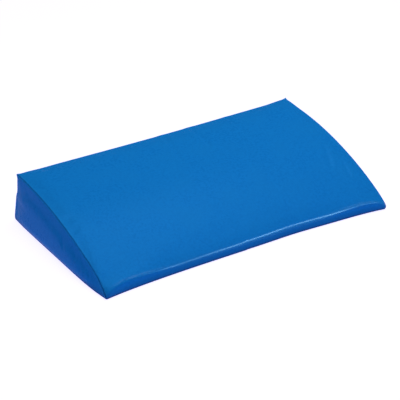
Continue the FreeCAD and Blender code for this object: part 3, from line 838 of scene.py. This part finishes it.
def add_piece(name, node, shape, finish, body="mat"):
    """Make an object of a bmesh in place of a CAD node, and give it its finish and body."""
    mesh = as_mesh(name, shape)
    mesh.shade_smooth()
    mesh.materials.append(finish)
    piece = bpy.data.objects.new(name, mesh)
    scene.collection.objects.link(piece)
    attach(piece, body)
    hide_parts(node)
    return piece


def is_above_zip(face):
    return (face.calc_center_median() - zip_origin).dot(UP) > 0


PANELS = {
    "top_panel": lambda f: f.material_index in (TOP, FRONT),
    "base_panel": lambda f: f.material_index == BASE,
    "left_end_panel": lambda f: f.material_index == LEFT,
    "right_end_panel": lambda f: f.material_index == RIGHT,
    "back_upper_panel": lambda f: f.material_index == BACK and is_above_zip(f),
    "back_lower_panel": lambda f: f.material_index == BACK and not is_above_zip(f),
}


def cut_panel(name, belongs):
    panel = block.copy()
    others = [f for f in panel.faces if not belongs(f)]
    bmesh.ops.delete(panel, geom=others, context="FACES")
    outward, mark = panel.verts.layers.float_vector["bisector"], panel.verts.layers.int["seam"]
    gaps = panel.verts.layers.float["seam_gap"]
    rim = [e for e in panel.edges if e.is_boundary and all(v[mark] for v in e.verts)]
    rim_verts = {v for e in rim for v in e.verts}
    moves = {}
    for vert in rim_verts:
        inner = [e.other_vert(vert).co for e in vert.link_edges if not e.is_boundary]
        inner = inner or [e.other_vert(vert).co for e in vert.link_edges]
        toward = (sum(inner, Vector()) / len(inner) - vert.co).normalized()
        moves[vert] = toward * SEAM_HALF_GAP - Vector(vert[outward]) * GROOVE
    if "end" in name:
        for vert in panel.verts:
            swell = math.exp(-(((vert[gaps] - RIDGE_AT) / RIDGE_WIDTH) ** 2))
            moves[vert] = moves.get(vert, Vector()) + Vector(vert[outward]) * ALLOWANCE_RIDGE * swell
    for vert, move in moves.items():
        vert.co += move
        vert.co.z = max(vert.co.z, 0.0)
    turned = bmesh.ops.extrude_edge_only(panel, edges=rim)
    for vert in (v for v in turned["geom"] if isinstance(v, bmesh.types.BMVert)):
        vert.co -= Vector(vert[outward]) * ALLOWANCE
        vert.co.z = max(vert.co.z, FABRIC)
        vert[gaps] = 0.0
    bmesh.ops.recalc_face_normals(panel, faces=panel.faces)
    facing = sum(f.normal.dot(Vector(f.verts[0][outward])) * f.calc_area() for f in panel.faces)
    if facing < 0:
        bmesh.ops.reverse_faces(panel, faces=panel.faces)
    for face in panel.faces:
        face.material_index = 0
    piece = add_piece(name + "_cloth", name, panel, cover_finish)
    wall = piece.modifiers.new("fabric", "SOLIDIFY")
    wall.thickness = FABRIC
    wall.offset = -1.0
    wall.use_rim = True
    print(name, len(piece.data.polygons), "faces")


for name, belongs in PANELS.items():
    cut_panel(name, belongs)

# %% [markdown]
# ## The foam core
#
# Inside is one block of foam. It is the same block pulled in by the thickness of the cover, with
# its edges cut back far enough to clear the seam allowances, and a channel behind the zip. Foam is
# full of small open cells, which show as pits of about a millimetre, bumped in and darkened with painted
# shade.

# %% Foam
FOAM_INSET = 2.2 * MM
FOAM_CHAMFER, CHAMFER_SLOPE = 9 * MM, 0.75
CHANNEL_DEPTH = 5.2 * MM


def open_cell_foam():
    shader = Shader("open_cell_foam", Roughness=0.95, Specular_IOR_Level=0.2)
    cells = shader.cells(900.0)
    cloud = shader.noise(14.0, 3.0)
    cream = shader.between(shader.clamp(cloud, 0.3, 0.7), linear(238, 226, 190), linear(228, 212, 168))
    # painted shade: the cream darkens inside each open cell
    pit_shade = 1 - shader.clamp(cells, 0.0, 0.45)
    shader.set("Base Color", shader.between(pit_shade * 0.5, cream, linear(170, 150, 110)))
    shader.bump(cells, 0.0006)
    return shader.material


def make_foam():
    foam = block.copy()
    outward = foam.verts.layers.float_vector["bisector"]
    bisectors = {v.index: Vector(v[outward]) for v in foam.verts if v.index in seam_of_vert}
    for vert in foam.verts:
        place, seam_index, gap = seam_places.find(vert.co)
        vert.co -= Vector(vert[outward]) * FOAM_INSET
        vert.co -= bisectors[seam_index] * max(0.0, FOAM_CHAMFER - gap * CHAMFER_SLOPE)
        vert.co.z = max(vert.co.z, FOAM_INSET)
        if any(f.material_index == WINDOW for f in vert.link_faces):
            vert.co -= OUT * (CHANNEL_DEPTH - FOAM_INSET)
    for face in foam.faces:
        face.material_index = 0
    return foam


foam_piece = add_piece("foam_block", "foam_core", make_foam(), open_cell_foam())
print("foam", len(foam_piece.data.polygons), "faces")


# %% [markdown]
# ## Sewing thread
#
# Every seam is held by a row of lockstitches about 3.5 mm long. One stitch is a short strand, thick
# in the middle and pressed into the fabric at both ends, so a stretched ball with few faces is
# enough. The rows are laid along lines of points read from the block's own seams, so they follow
# the fabric wherever it went.

# %% Thread and rows of stitches
STITCH = 3.5 * MM
STITCH_SHARE = 0.80
THREAD = 0.7 * MM


def sewing_thread():
    shader = Shader("sewing_thread", Roughness=0.6, Specular_IOR_Level=0.35)
    twist = shader.noise(2600.0, 2.0, place=shader.stretched(0.35, 1.0, 1.0))
    shader.set("Base Color", shader.between(twist, linear(16, 70, 150), linear(36, 104, 190)))
    shader.set("Roughness", 0.5 + 0.25 * twist)
    shader.bump(twist, 0.00015)
    return shader.material


thread_finish = sewing_thread()


def stand(place, along, up):
    """A matrix with its X axis along a line and its Z axis nearly up, at a place."""
    along = along.normalized()
    side = up.cross(along).normalized()
    up = along.cross(side)
    matrix = Matrix((along, side, up)).transposed().to_4x4()
    return Matrix.Translation(place) @ matrix


def repeat(template, matrices):
    """A bmesh with one copy of a small mesh at every matrix."""
    row = bmesh.new()
    for matrix in matrices:
        template.transform(matrix)
        row.from_mesh(template)
        template.transform(matrix.inverted())
    return row


def one_stitch():
    strand = bmesh.new()
    bmesh.ops.create_uvsphere(strand, u_segments=6, v_segments=5, radius=1.0)
    bmesh.ops.rotate(strand, verts=strand.verts, matrix=Matrix.Rotation(math.pi / 2, 3, "Y"))
    size = (STITCH * STITCH_SHARE / 2, THREAD / 2, THREAD / 2)
    bmesh.ops.scale(strand, verts=strand.verts, vec=size)
    return as_mesh("one_stitch", strand)


stitch = one_stitch()


def stitches_along(line, ups, sunk=0.0):
    """Matrices of stitches along a line of points, each with its own up direction."""
    points = np.array([tuple(p) for p in line])
    normals = np.array([tuple(n) for n in ups])
    lengths = lengths_along(points)
    count = max(2, round(lengths[-1] / STITCH))
    matrices = []
    for step in range(count):
        at = (step + np.array([0.45, 0.5, 0.55])) * lengths[-1] / count
        before, middle, after = (Vector(p) for p in read_at(at, lengths, points))
        up = Vector(read_at(at[1:2], lengths, normals)[0]).normalized()
        matrices.append(stand(middle - up * sunk, after - before, up))
    return matrices


def ordered_lines(block, pairs):
    """The seam's points in order, as lists of (place, bisector)."""
    edges = seam_edges(block, pairs)
    linked = {}
    for edge in edges:
        for vert in edge.verts:
            linked.setdefault(vert, []).append(edge.other_vert(vert))
    ends = [v for v, near in linked.items() if len(near) == 1]
    start = ends[0] if ends else next(iter(linked))
    line, last = [start], None
    while True:
        onward = [v for v in linked[line[-1]] if v is not last and (v not in line[-2:])]
        if not onward or (len(line) > 2 and onward[0] is start):
            break
        last = line[-1]
        line.append(onward[0])
    if not ends:
        line.append(start)
    return [(v.co.copy(), Vector(v[bisector])) for v in line]


SEAM_SUNK = 2.2 * MM
for seam, pairs in SEAM_PAIRS.items():
    line = ordered_lines(block, pairs)
    laid = stitches_along([place for place, up in line], [up for place, up in line], sunk=SEAM_SUNK)
    node = "seam_thread_" + seam
    add_piece(node + "_stitches", node, repeat(stitch, laid), thread_finish)
    print(seam, len(laid), "stitches")


# %% [markdown]
# ## The zip, hidden at the back
#
# A cover like this comes off through a zip low on the back face. It is a moulded plastic zip: two
# woven tapes, a cord along each with teeth moulded on it, stops at both ends, and one slider with a
# pull tab. All of it is modelled lying flat, with X along the zip, Y up the back face and Z out of
# it, and then stood in its place with the zip's matrix. That matrix mirrors, so the faces are
# turned outward again afterwards.

# %% Helpers for the zip's pieces
TAPE_FROM, TAPE_WIDTH, TAPE_DEPTH = 3.4 * MM, 16 * MM, 0.85 * MM
CHAIN_OUT = 0.4 * MM
CHAIN_THICKNESS = 3 * MM
CHAIN_HALF = 3.4 * MM
SHEET_WALL = 0.45 * MM
SIDES = {"upper": 1, "lower": -1}


def stood_on_back(flat):
    bmesh.ops.transform(flat, matrix=ZIP_MATRIX, verts=flat.verts)
    bmesh.ops.recalc_face_normals(flat, faces=flat.faces)
    return flat


def soften(shape, edges, radius, segments=2):
    bmesh.ops.bevel(shape, geom=edges, offset=radius, segments=segments, profile=0.5,
                    affect="EDGES", clamp_overlap=True, material=-1)


def raised(shape, faces, vec):
    """Extrude faces by a vector, and give back the points that moved."""
    made = bmesh.ops.extrude_face_region(shape, geom=faces)["geom"]
    moved = [v for v in made if isinstance(v, bmesh.types.BMVert)]
    bmesh.ops.translate(shape, verts=moved, vec=vec)
    return moved


def thick_sheet(sheet):
    """Turn a flat sheet's faces to +Z, give it a wall, and stand it on the back."""
    bmesh.ops.recalc_face_normals(sheet, faces=sheet.faces)
    if sum(f.normal.z for f in sheet.faces) < 0:
        bmesh.ops.reverse_faces(sheet, faces=sheet.faces)
    bmesh.ops.solidify(sheet, geom=sheet.faces, thickness=SHEET_WALL)
    return stood_on_back(sheet)


def add_block(shape, low, high, radius=0.0, segments=2):
    """Add a block between two corners, with rounded edges."""
    low, high = Vector(low), Vector(high)
    matrix = Matrix.Translation((low + high) / 2) @ Matrix.Diagonal((*(high - low), 1))
    made = bmesh.ops.create_cube(shape, size=1.0, matrix=matrix)
    if radius:
        soften(shape, list({e for v in made["verts"] for e in v.link_edges}), radius, segments)


def add_plate(shape, outline, low, high, corner=0.0, edge=0.0):
    """Add a plate with this outline between two heights. Corners are rounded first, then edges."""
    floor = shape.faces.new([shape.verts.new((x, y, low)) for x, y in outline])
    top = raised(shape, [floor], (0, 0, high - low))
    upright = [e for v in floor.verts for e in v.link_edges if e.other_vert(v) in top]
    if corner:
        soften(shape, upright, corner, 4)
    if edge:
        flat = [e for e in shape.edges if span(e, 2) < 1e-7
                and min(abs(e.verts[0].co.z - low), abs(e.verts[0].co.z - high)) < 1e-7
                and any(abs(f.normal.z) < 0.5 for f in e.link_faces)]
        soften(shape, flat, edge)
    bmesh.ops.recalc_face_normals(shape, faces=shape.faces)


# %% [markdown]
# ### Tapes
#
# The tapes are woven ribbon with a firmer edge beside the teeth. The weave is two crossed sine
# waves, one along the zip and one up the back, about a millimetre apart.

# %% Tapes
WARP, WEFT = 5200.0, 7000.0      # radians of the two waves in a metre
TAPE_HALF_LENGTH = 595.2 * MM
BEAD, BEAD_AT, BEAD_WIDTH = 0.12 * MM, 1.2 * MM, 0.8 * MM
TAPE_WAVE = 0.05 * MM


def woven_tape():
    shader = Shader("woven_tape", Specular_IOR_Level=0.25)
    weave = (shader.along("X") * WARP).sine() * (shader.along("Z") * WEFT).sine()
    fuzz = shader.noise(700.0, 3.0)
    tone = shader.clamp(weave * 0.35 + fuzz, 0.1, 0.95)
    shader.set("Base Color", shader.between(tone, linear(8, 36, 92), linear(22, 66, 142)))
    shader.set("Roughness", 0.7 + 0.2 * fuzz)
    shader.bump(weave * 0.5 + fuzz * 0.5, 0.00018)
    return shader.material


tape_finish = woven_tape()


def make_tape(side):
    tape = bmesh.new()
    bmesh.ops.create_grid(tape, x_segments=240, y_segments=12, size=0.5)
    bmesh.ops.scale(tape, verts=tape.verts, vec=(2 * TAPE_HALF_LENGTH, TAPE_WIDTH, 1))
    for vert in tape.verts:
        across = vert.co.y + TAPE_WIDTH / 2
        bead = BEAD * math.exp(-((across - BEAD_AT) / BEAD_WIDTH) ** 2)
        wave = TAPE_WAVE * math.sin(vert.co.x * 140) * math.sin(across * 200)
        vert.co = (vert.co.x, side * (TAPE_FROM + across), -TAPE_DEPTH + bead + wave - 0.1 * MM)
    return thick_sheet(tape)


for name, side in SIDES.items():
    node = f"zip_tape_{name}"
    add_piece(node + "_woven", node, make_tape(side), tape_finish)
print("tapes 2")

# %% [markdown]
# ### Teeth and stops
#
# Each tooth is moulded round its cord: a narrow neck, a wider rounded head that hooks behind its
# neighbours, and softened edges. One tooth is made from a block that is cut into rings, pinched
# at its neck and bevelled, and it is repeated along both sides, half a pitch apart.

# %% Teeth
PITCH, TOOTH_WIDTH, TOOTH_REACH = 4 * MM, 1.6 * MM, 0.9 * MM
NECK, NECK_MIDDLE, HEAD_END = (-0.2 * MM, 3.0 * MM), 1.2 * MM, -0.5 * MM
NECK_SHARE, SHOULDER_SHARE, THIN_SHARE = 0.62, 0.85, 0.88
CHAIN_MIDDLE = CHAIN_OUT - CHAIN_THICKNESS / 2
CORD_WIDTH, CORD_HALF_LENGTH = 1.2 * MM, 552 * MM
FIRST_TOOTH = {1: -551 * MM, -1: -549 * MM}
TEETH_EACH = 276


def moulded_plastic():
    shader = Shader("moulded_plastic", Specular_IOR_Level=0.5)
    skin = shader.noise(2200.0, 2.0)
    cloud = shader.noise(60.0, 2.0)
    shader.set("Base Color", shader.between(cloud, linear(10, 38, 98), linear(18, 54, 122)))
    shader.set("Roughness", 0.32 + 0.12 * skin + 0.06 * cloud)
    shader.bump(skin, 0.00004)
    return shader.material


plastic_finish = moulded_plastic()


def one_tooth():
    tooth = bmesh.new()
    add_block(tooth, (-TOOTH_WIDTH / 2, -TOOTH_REACH, CHAIN_OUT - CHAIN_THICKNESS),
              (TOOTH_WIDTH / 2, CHAIN_HALF, CHAIN_OUT))
    along = [e for e in tooth.edges if span(e, 1) > 1 * MM]
    bmesh.ops.subdivide_edges(tooth, edges=along, cuts=2, use_grid_fill=True)
    for vert in tooth.verts:
        if NECK[0] < vert.co.y < NECK[1]:
            vert.co.x *= NECK_SHARE if vert.co.y < NECK_MIDDLE else SHOULDER_SHARE
        if vert.co.y > NECK[1] or vert.co.y < HEAD_END:
            vert.co.z = CHAIN_MIDDLE + (vert.co.z - CHAIN_MIDDLE) * THIN_SHARE
    sharp = [e for e in tooth.edges if e.calc_face_angle() > 0.9]
    soften(tooth, sharp, 0.18 * MM, 1)
    return as_mesh("one_tooth", tooth)


tooth = one_tooth()
for name, side in SIDES.items():
    flip = Matrix.Diagonal((1, side, 1, 1))
    along_row = [FIRST_TOOTH[side] + i * PITCH for i in range(TEETH_EACH)]
    row = repeat(tooth, [Matrix.Translation((x, 0, 0)) @ flip for x in along_row])
    cord_place = Matrix.Translation((0, side * (CHAIN_HALF - CORD_WIDTH / 2), CHAIN_MIDDLE))
    bmesh.ops.create_cone(row, cap_ends=True, segments=12, radius1=CORD_WIDTH / 2,
                          radius2=CORD_WIDTH / 2, depth=2 * CORD_HALF_LENGTH,
                          matrix=cord_place @ Matrix.Rotation(math.pi / 2, 4, "Y"))
    node = f"zip_teeth_{name}"
    add_piece(node + "_moulded", node, stood_on_back(row), plastic_finish)
print("teeth", 2 * TEETH_EACH, "with", len(tooth.polygons), "faces each")


# %% Stops
def zip_box(node):
    """A CAD node's box in the zip's own directions, from its vertices."""
    local = [ZIP_MATRIX.inverted() @ v.co for v in frame["nodes"][node].data.vertices]
    return [Vector([f(p[k] for p in local) for k in range(3)]) for f in (min, max)]


low, high = zip_box("zip_top_stops")
stops = bmesh.new()
for side in (1, -1):
    add_block(stops, (low.x, min(side * 0.9 * MM, side * high.y), low.z),
              (high.x, max(side * 0.9 * MM, side * high.y), high.z), 0.5 * MM, 3)
add_piece("zip_top_stops_moulded", "zip_top_stops", stood_on_back(stops), plastic_finish)
low, high = zip_box("zip_bottom_stop")
stop = bmesh.new()
add_block(stop, low, high, 0.6 * MM, 3)
add_piece("zip_bottom_stop_moulded", "zip_bottom_stop", stood_on_back(stop), plastic_finish)
print("stops 3")

# %% [markdown]
# ### Slider, bridge and pull tab
#
# The slider is die-cast and painted: two plates with turned edges that hold the tapes, and a
# wedge between them that parts the teeth. Its bridge is a small arch over the upper plate, and
# the tab's pin lies under the arch, so the tab swings over without meeting the plate.

# %% Slider
SLIDER_NOSE, SLIDER_TAIL = 10 * MM, -12 * MM
NOSE_WIDE, TAIL_WIDE = 7.7 * MM, 6.5 * MM
PLATE_TOP = (0.7 * MM, 2.2 * MM)
PLATE_UNDER = (-4.4 * MM, -2.9 * MM)
RAIL_WIDTH = 1.1 * MM


def painted_metal():
    shader = Shader("painted_metal", Specular_IOR_Level=0.55, Coat_Roughness=0.15)
    cast = shader.noise(900.0, 3.0)
    wear = shader.clamp(shader.noise(160.0, 4.0), 0.66, 0.74)
    paint = shader.between(cast, linear(12, 44, 104), linear(18, 58, 128))
    shader.set("Base Color", shader.between(wear * 0.7, paint, linear(150, 152, 156)))
    shader.set("Metallic", wear * 0.8)
    shader.set("Roughness", 0.30 + 0.15 * cast)
    shader.set("Coat Weight", 0.3 - 0.3 * wear)
    shader.bump(cast, 0.00005)
    return shader.material


metal_finish = painted_metal()
SHOULDER = SLIDER_NOSE - 3 * MM
one_side = [(SLIDER_TAIL, TAIL_WIDE), (SHOULDER, NOSE_WIDE), (SLIDER_NOSE, NOSE_WIDE - 3 * MM)]
slider_outline = [(x, -y) for x, y in one_side] + one_side[::-1]


def add_metal(node, shape, body):
    """Add a painted piece where the slider stands."""
    bmesh.ops.translate(shape, verts=shape.verts, vec=(SLIDER_X, 0, 0))
    add_piece(node + "_cast", node, stood_on_back(shape), metal_finish, body)


slider = bmesh.new()
for low, high in (PLATE_TOP, PLATE_UNDER):
    add_plate(slider, slider_outline, low, high, 1.4 * MM, 0.35 * MM)
for side in (1, -1):
    tail = SLIDER_TAIL + 0.6 * MM
    rail = [(tail, side * (TAIL_WIDE - RAIL_WIDTH)), (tail, side * TAIL_WIDE),
            (SHOULDER, side * NOSE_WIDE), (SHOULDER, side * (NOSE_WIDE - RAIL_WIDTH))]
    add_plate(slider, rail[::side], -0.4 * MM, 1.0 * MM, 0.2 * MM, 0.2 * MM)
    add_plate(slider, rail[::side], -3.2 * MM, -1.75 * MM, 0.2 * MM, 0.2 * MM)
wedge_side = [(3 * MM, 0.5 * MM), (6 * MM, 1.3 * MM), (9 * MM, 0.9 * MM)]
wedge = [(x, -y) for x, y in wedge_side] + wedge_side[::-1]
add_plate(slider, wedge, -3.2 * MM, 1.0 * MM, 0.3 * MM)
add_metal("zip_slider", slider, "slider")

# %% Bridge
ARCH = [(-5, 2.0), (-5, 6.2), (5, 6.2), (5, 2.0), (3, 2.0), (3, 4.7), (-3, 4.7), (-3, 2.0)]
BRIDGE_HALF = 1.5 * MM


def make_bridge():
    bridge = bmesh.new()
    face = bridge.faces.new([bridge.verts.new((x * MM, -BRIDGE_HALF, z * MM)) for x, z in ARCH])
    raised(bridge, [face], (0, 2 * BRIDGE_HALF, 0))
    for arch_height, radius, segments in ((6.2 * MM, 2.0 * MM, 5), (4.7 * MM, 0.9 * MM, 3)):
        corners = [e for e in bridge.edges if span(e, 1) > BRIDGE_HALF
                   and abs(e.verts[0].co.z - arch_height) < 0.01 * MM]
        soften(bridge, corners, radius, segments)
    rims = [e for e in bridge.edges if span(e, 1) < 0.01 * MM and e.calc_face_angle(0) > 0.9]
    soften(bridge, rims, 0.4 * MM)
    return bridge


add_metal("zip_slider_bridge", make_bridge(), "slider")

# %% Pull tab
TAB_COLUMNS = [1, -1, -8, -11, -20, -32, -36]
TAB_HALF_WIDTHS = [4.0, 4.5, 4.5, 4.7, 5.2, 5.5, 4.2]
TAB_WINDOW_HALF = 2.5
TAB_LOW, TAB_HIGH = 2.6 * MM, 4.4 * MM


def make_tab():
    tab = bmesh.new()
    bmesh.ops.create_grid(tab, x_segments=len(TAB_COLUMNS) - 1, y_segments=3, size=0.5)
    for vert in tab.verts:
        column = round((0.5 - vert.co.x) * (len(TAB_COLUMNS) - 1))
        row = round((vert.co.y + 0.5) * 3)
        half = TAB_HALF_WIDTHS[column]
        inner = min(TAB_WINDOW_HALF, half - 1)
        vert.co = (TAB_COLUMNS[column] * MM, (-half, -inner, inner, half)[row] * MM, TAB_LOW)
    hole = [f for f in tab.faces if -8 * MM < f.calc_center_median().x < -1 * MM
            and abs(f.calc_center_median().y) < 0.5 * MM]
    bmesh.ops.delete(tab, geom=hole, context="FACES")
    raised(tab, tab.faces[:], (0, 0, TAB_HIGH - TAB_LOW))
    bmesh.ops.recalc_face_normals(tab, faces=tab.faces)
    soften(tab, [e for e in tab.edges if e.calc_face_angle(0) > 0.9], 0.55 * MM, 3)
    for place in (-22, -24.5, -27, -29.5):
        add_block(tab, (place * MM - 0.6 * MM, -3.6 * MM, TAB_LOW - 0.15 * MM),
                  (place * MM + 0.6 * MM, 3.6 * MM, TAB_HIGH + 0.25 * MM), 0.3 * MM)
    return tab


add_metal("zip_pull_tab", make_tab(), "pull_tab")
print("slider, bridge and tab at", round(SLIDER_X, 4))

# %% [markdown]
# ### Patches and their stitching
#
# A patch of the cover's fabric is sewn over each end of the zip, where a cover tears first. It
# puckers along its stitching and is plump in between.

# %% Patches
PATCH_NEAR, PATCH_FAR, PATCH_HALF = 562.2 * MM, 596.5 * MM, 17 * MM
LOOP_INSET = 3 * MM
PATCH_OUT, STITCH_OUT = 0.5 * MM, 0.75 * MM
VALLEY, VALLEY_WIDTH = 0.35 * MM, 1.1 * MM
PUCKER, PUCKER_PITCH, PUCKER_REACH = 0.10 * MM, 7 * MM, 5 * MM
PLUMP, PLUMP_REACH = 0.45 * MM, 1.2 * MM
PATCH_SHADE = 2 * MM        # its edges are a little less dark than a seam's groove


def to_patch_edge(x, y):
    return min(x - PATCH_NEAR, PATCH_FAR - x, PATCH_HALF - abs(y))


def patch_height(x, y):
    """How far out the patch's face stands, from its distance to its own edge."""
    edge = to_patch_edge(x, y)
    valley = VALLEY * math.exp(-((edge - LOOP_INSET) / VALLEY_WIDTH) ** 2)
    pucker = PUCKER * math.sin((x + y) * 2 * math.pi / PUCKER_PITCH) * math.exp(-edge / PUCKER_REACH)
    return PATCH_OUT + PLUMP * (1 - math.exp(-edge / PLUMP_REACH)) - valley + pucker


def make_patch(side):
    patch = bmesh.new()
    bmesh.ops.create_grid(patch, x_segments=36, y_segments=34, size=0.5)
    gaps = patch.verts.layers.float.new("seam_gap")
    for vert in patch.verts:
        x = PATCH_NEAR + (vert.co.x + 0.5) * (PATCH_FAR - PATCH_NEAR)
        y = vert.co.y * 2 * PATCH_HALF
        vert.co = (side * x, y, patch_height(x, y))
        vert[gaps] = to_patch_edge(x, y) + PATCH_SHADE
    return thick_sheet(patch)


def flat_stitches(start, end):
    """A straight row between two places on the back."""
    return stitches_along([ZIP_MATRIX @ Vector(p) for p in (start, end)], [OUT, OUT])


for name, side in (("left", -1), ("right", 1)):
    node = f"zip_end_patch_{name}"
    add_piece(node + "_cloth", node, make_patch(side), cover_finish)
    x0, x1, y1 = PATCH_NEAR + LOOP_INSET, PATCH_FAR - LOOP_INSET, PATCH_HALF - LOOP_INSET
    rim = [(x0, -y1), (x1, -y1), (x1, y1), (x0, y1), (x0, -y1)]
    laid = []
    for (xa, ya), (xb, yb) in zip(rim, rim[1:]):
        laid += flat_stitches((side * xa, ya, STITCH_OUT), (side * xb, yb, STITCH_OUT))
    node = f"patch_stitching_{name}"
    add_piece(node + "_stitches", node, repeat(stitch, laid), thread_finish)

# %% Rows of stitches beside the zip
ROW_UP, ROW_HALF = 11.25 * MM, 559.2 * MM
for name, side in SIDES.items():
    up, out = side * ROW_UP, 0.1 * MM
    laid = flat_stitches((-ROW_HALF, up, out), (ROW_HALF, up, out))
    node = f"zip_stitching_{name}"
    add_piece(node + "_stitches", node, repeat(stitch, laid), thread_finish)
print("stitches beside the zip", 2 * len(laid))

# %% [markdown]
# ## Floor, light and camera
#
# A plain pale floor and soft light from one wide panel straight above, so the top is evenly bright
# and the end panel falls a little darker. A small bluish lamp stands in front on the right, where
# the roll of the lip mirrors it as a thin bright line. The floor glows by itself, so that it stays
# pale in the mat's own shadow.

# %% Floor and world
def pale_floor():
    shader = Shader("pale_floor", Roughness=0.9, Specular_IOR_Level=0.1, Emission_Strength=1.25,
                    Emission_Color=(0.72, 0.70, 1.0, 1.0))
    cloud = shader.noise(1.5, 2.0)
    shader.set("Base Color", shader.between(cloud, linear(110, 110, 110), linear(114, 114, 114)))
    return shader.material


bpy.ops.mesh.primitive_plane_add(size=40, location=(0, 0, -0.0005))
floor = bpy.context.object
floor.name = "floor"
floor.data.materials.append(pale_floor())

world = bpy.data.worlds.new("studio")
scene.world = world
world.use_nodes = True
background = world.node_tree.nodes["Background"]
background.inputs["Color"].default_value = (0.75, 0.75, 1.0, 1.0)
background.inputs["Strength"].default_value = 0.05


def area_light(name, place, aim, width, depth, power, colour=(1, 1, 1)):
    lamp = bpy.data.lights.new(name, "AREA")
    lamp.shape = "RECTANGLE"
    lamp.size, lamp.size_y = width, depth
    lamp.energy = power
    lamp.color = colour
    holder = bpy.data.objects.new(name, lamp)
    scene.collection.objects.link(holder)
    holder.location = place
    holder.rotation_mode = "QUATERNION"
    holder.rotation_quaternion = (Vector(aim) - Vector(place)).to_track_quat("-Z", "Y")


area_light("key", (0.3, 0.0, 4.0), (0, 0, 0.1), 3.6, 3.6, 190, (1.0, 1.02, 0.93))
area_light("lip_line", (1.95, -2.3, 2.1), (0.35, -0.33, 0.03), 0.9, 0.2, 15, (0.35, 0.75, 1.0))

# %% Camera
CAMERA_TURN = math.radians(-31.35)
CAMERA_RISE = math.radians(27.90)
CAMERA_ROLL = math.radians(-0.88)
CAMERA_DISTANCE = 7.47
AIM = Vector((0, -0.026, 0.060))
AIM_RIGHT, AIM_UP = -0.0157, 0.0123

back = Vector((
    math.sin(CAMERA_TURN) * math.cos(CAMERA_RISE),
    -math.cos(CAMERA_TURN) * math.cos(CAMERA_RISE),
    math.sin(CAMERA_RISE),
))
turn = (-back).to_track_quat("-Z", "Y")
right, above = turn @ Vector((1, 0, 0)), turn @ Vector((0, 1, 0))
lens = bpy.data.cameras.new("camera")
lens.lens = 180
lens.sensor_width = 36
lens.clip_end = 60
camera = bpy.data.objects.new("camera", lens)
scene.collection.objects.link(camera)
camera.rotation_mode = "QUATERNION"
camera.rotation_quaternion = turn @ Matrix.Rotation(CAMERA_ROLL, 3, "Z").to_quaternion()
camera.location = AIM + right * AIM_RIGHT + above * AIM_UP + back * CAMERA_DISTANCE
scene.camera = camera
print("camera", tuple(round(c, 3) for c in camera.location))
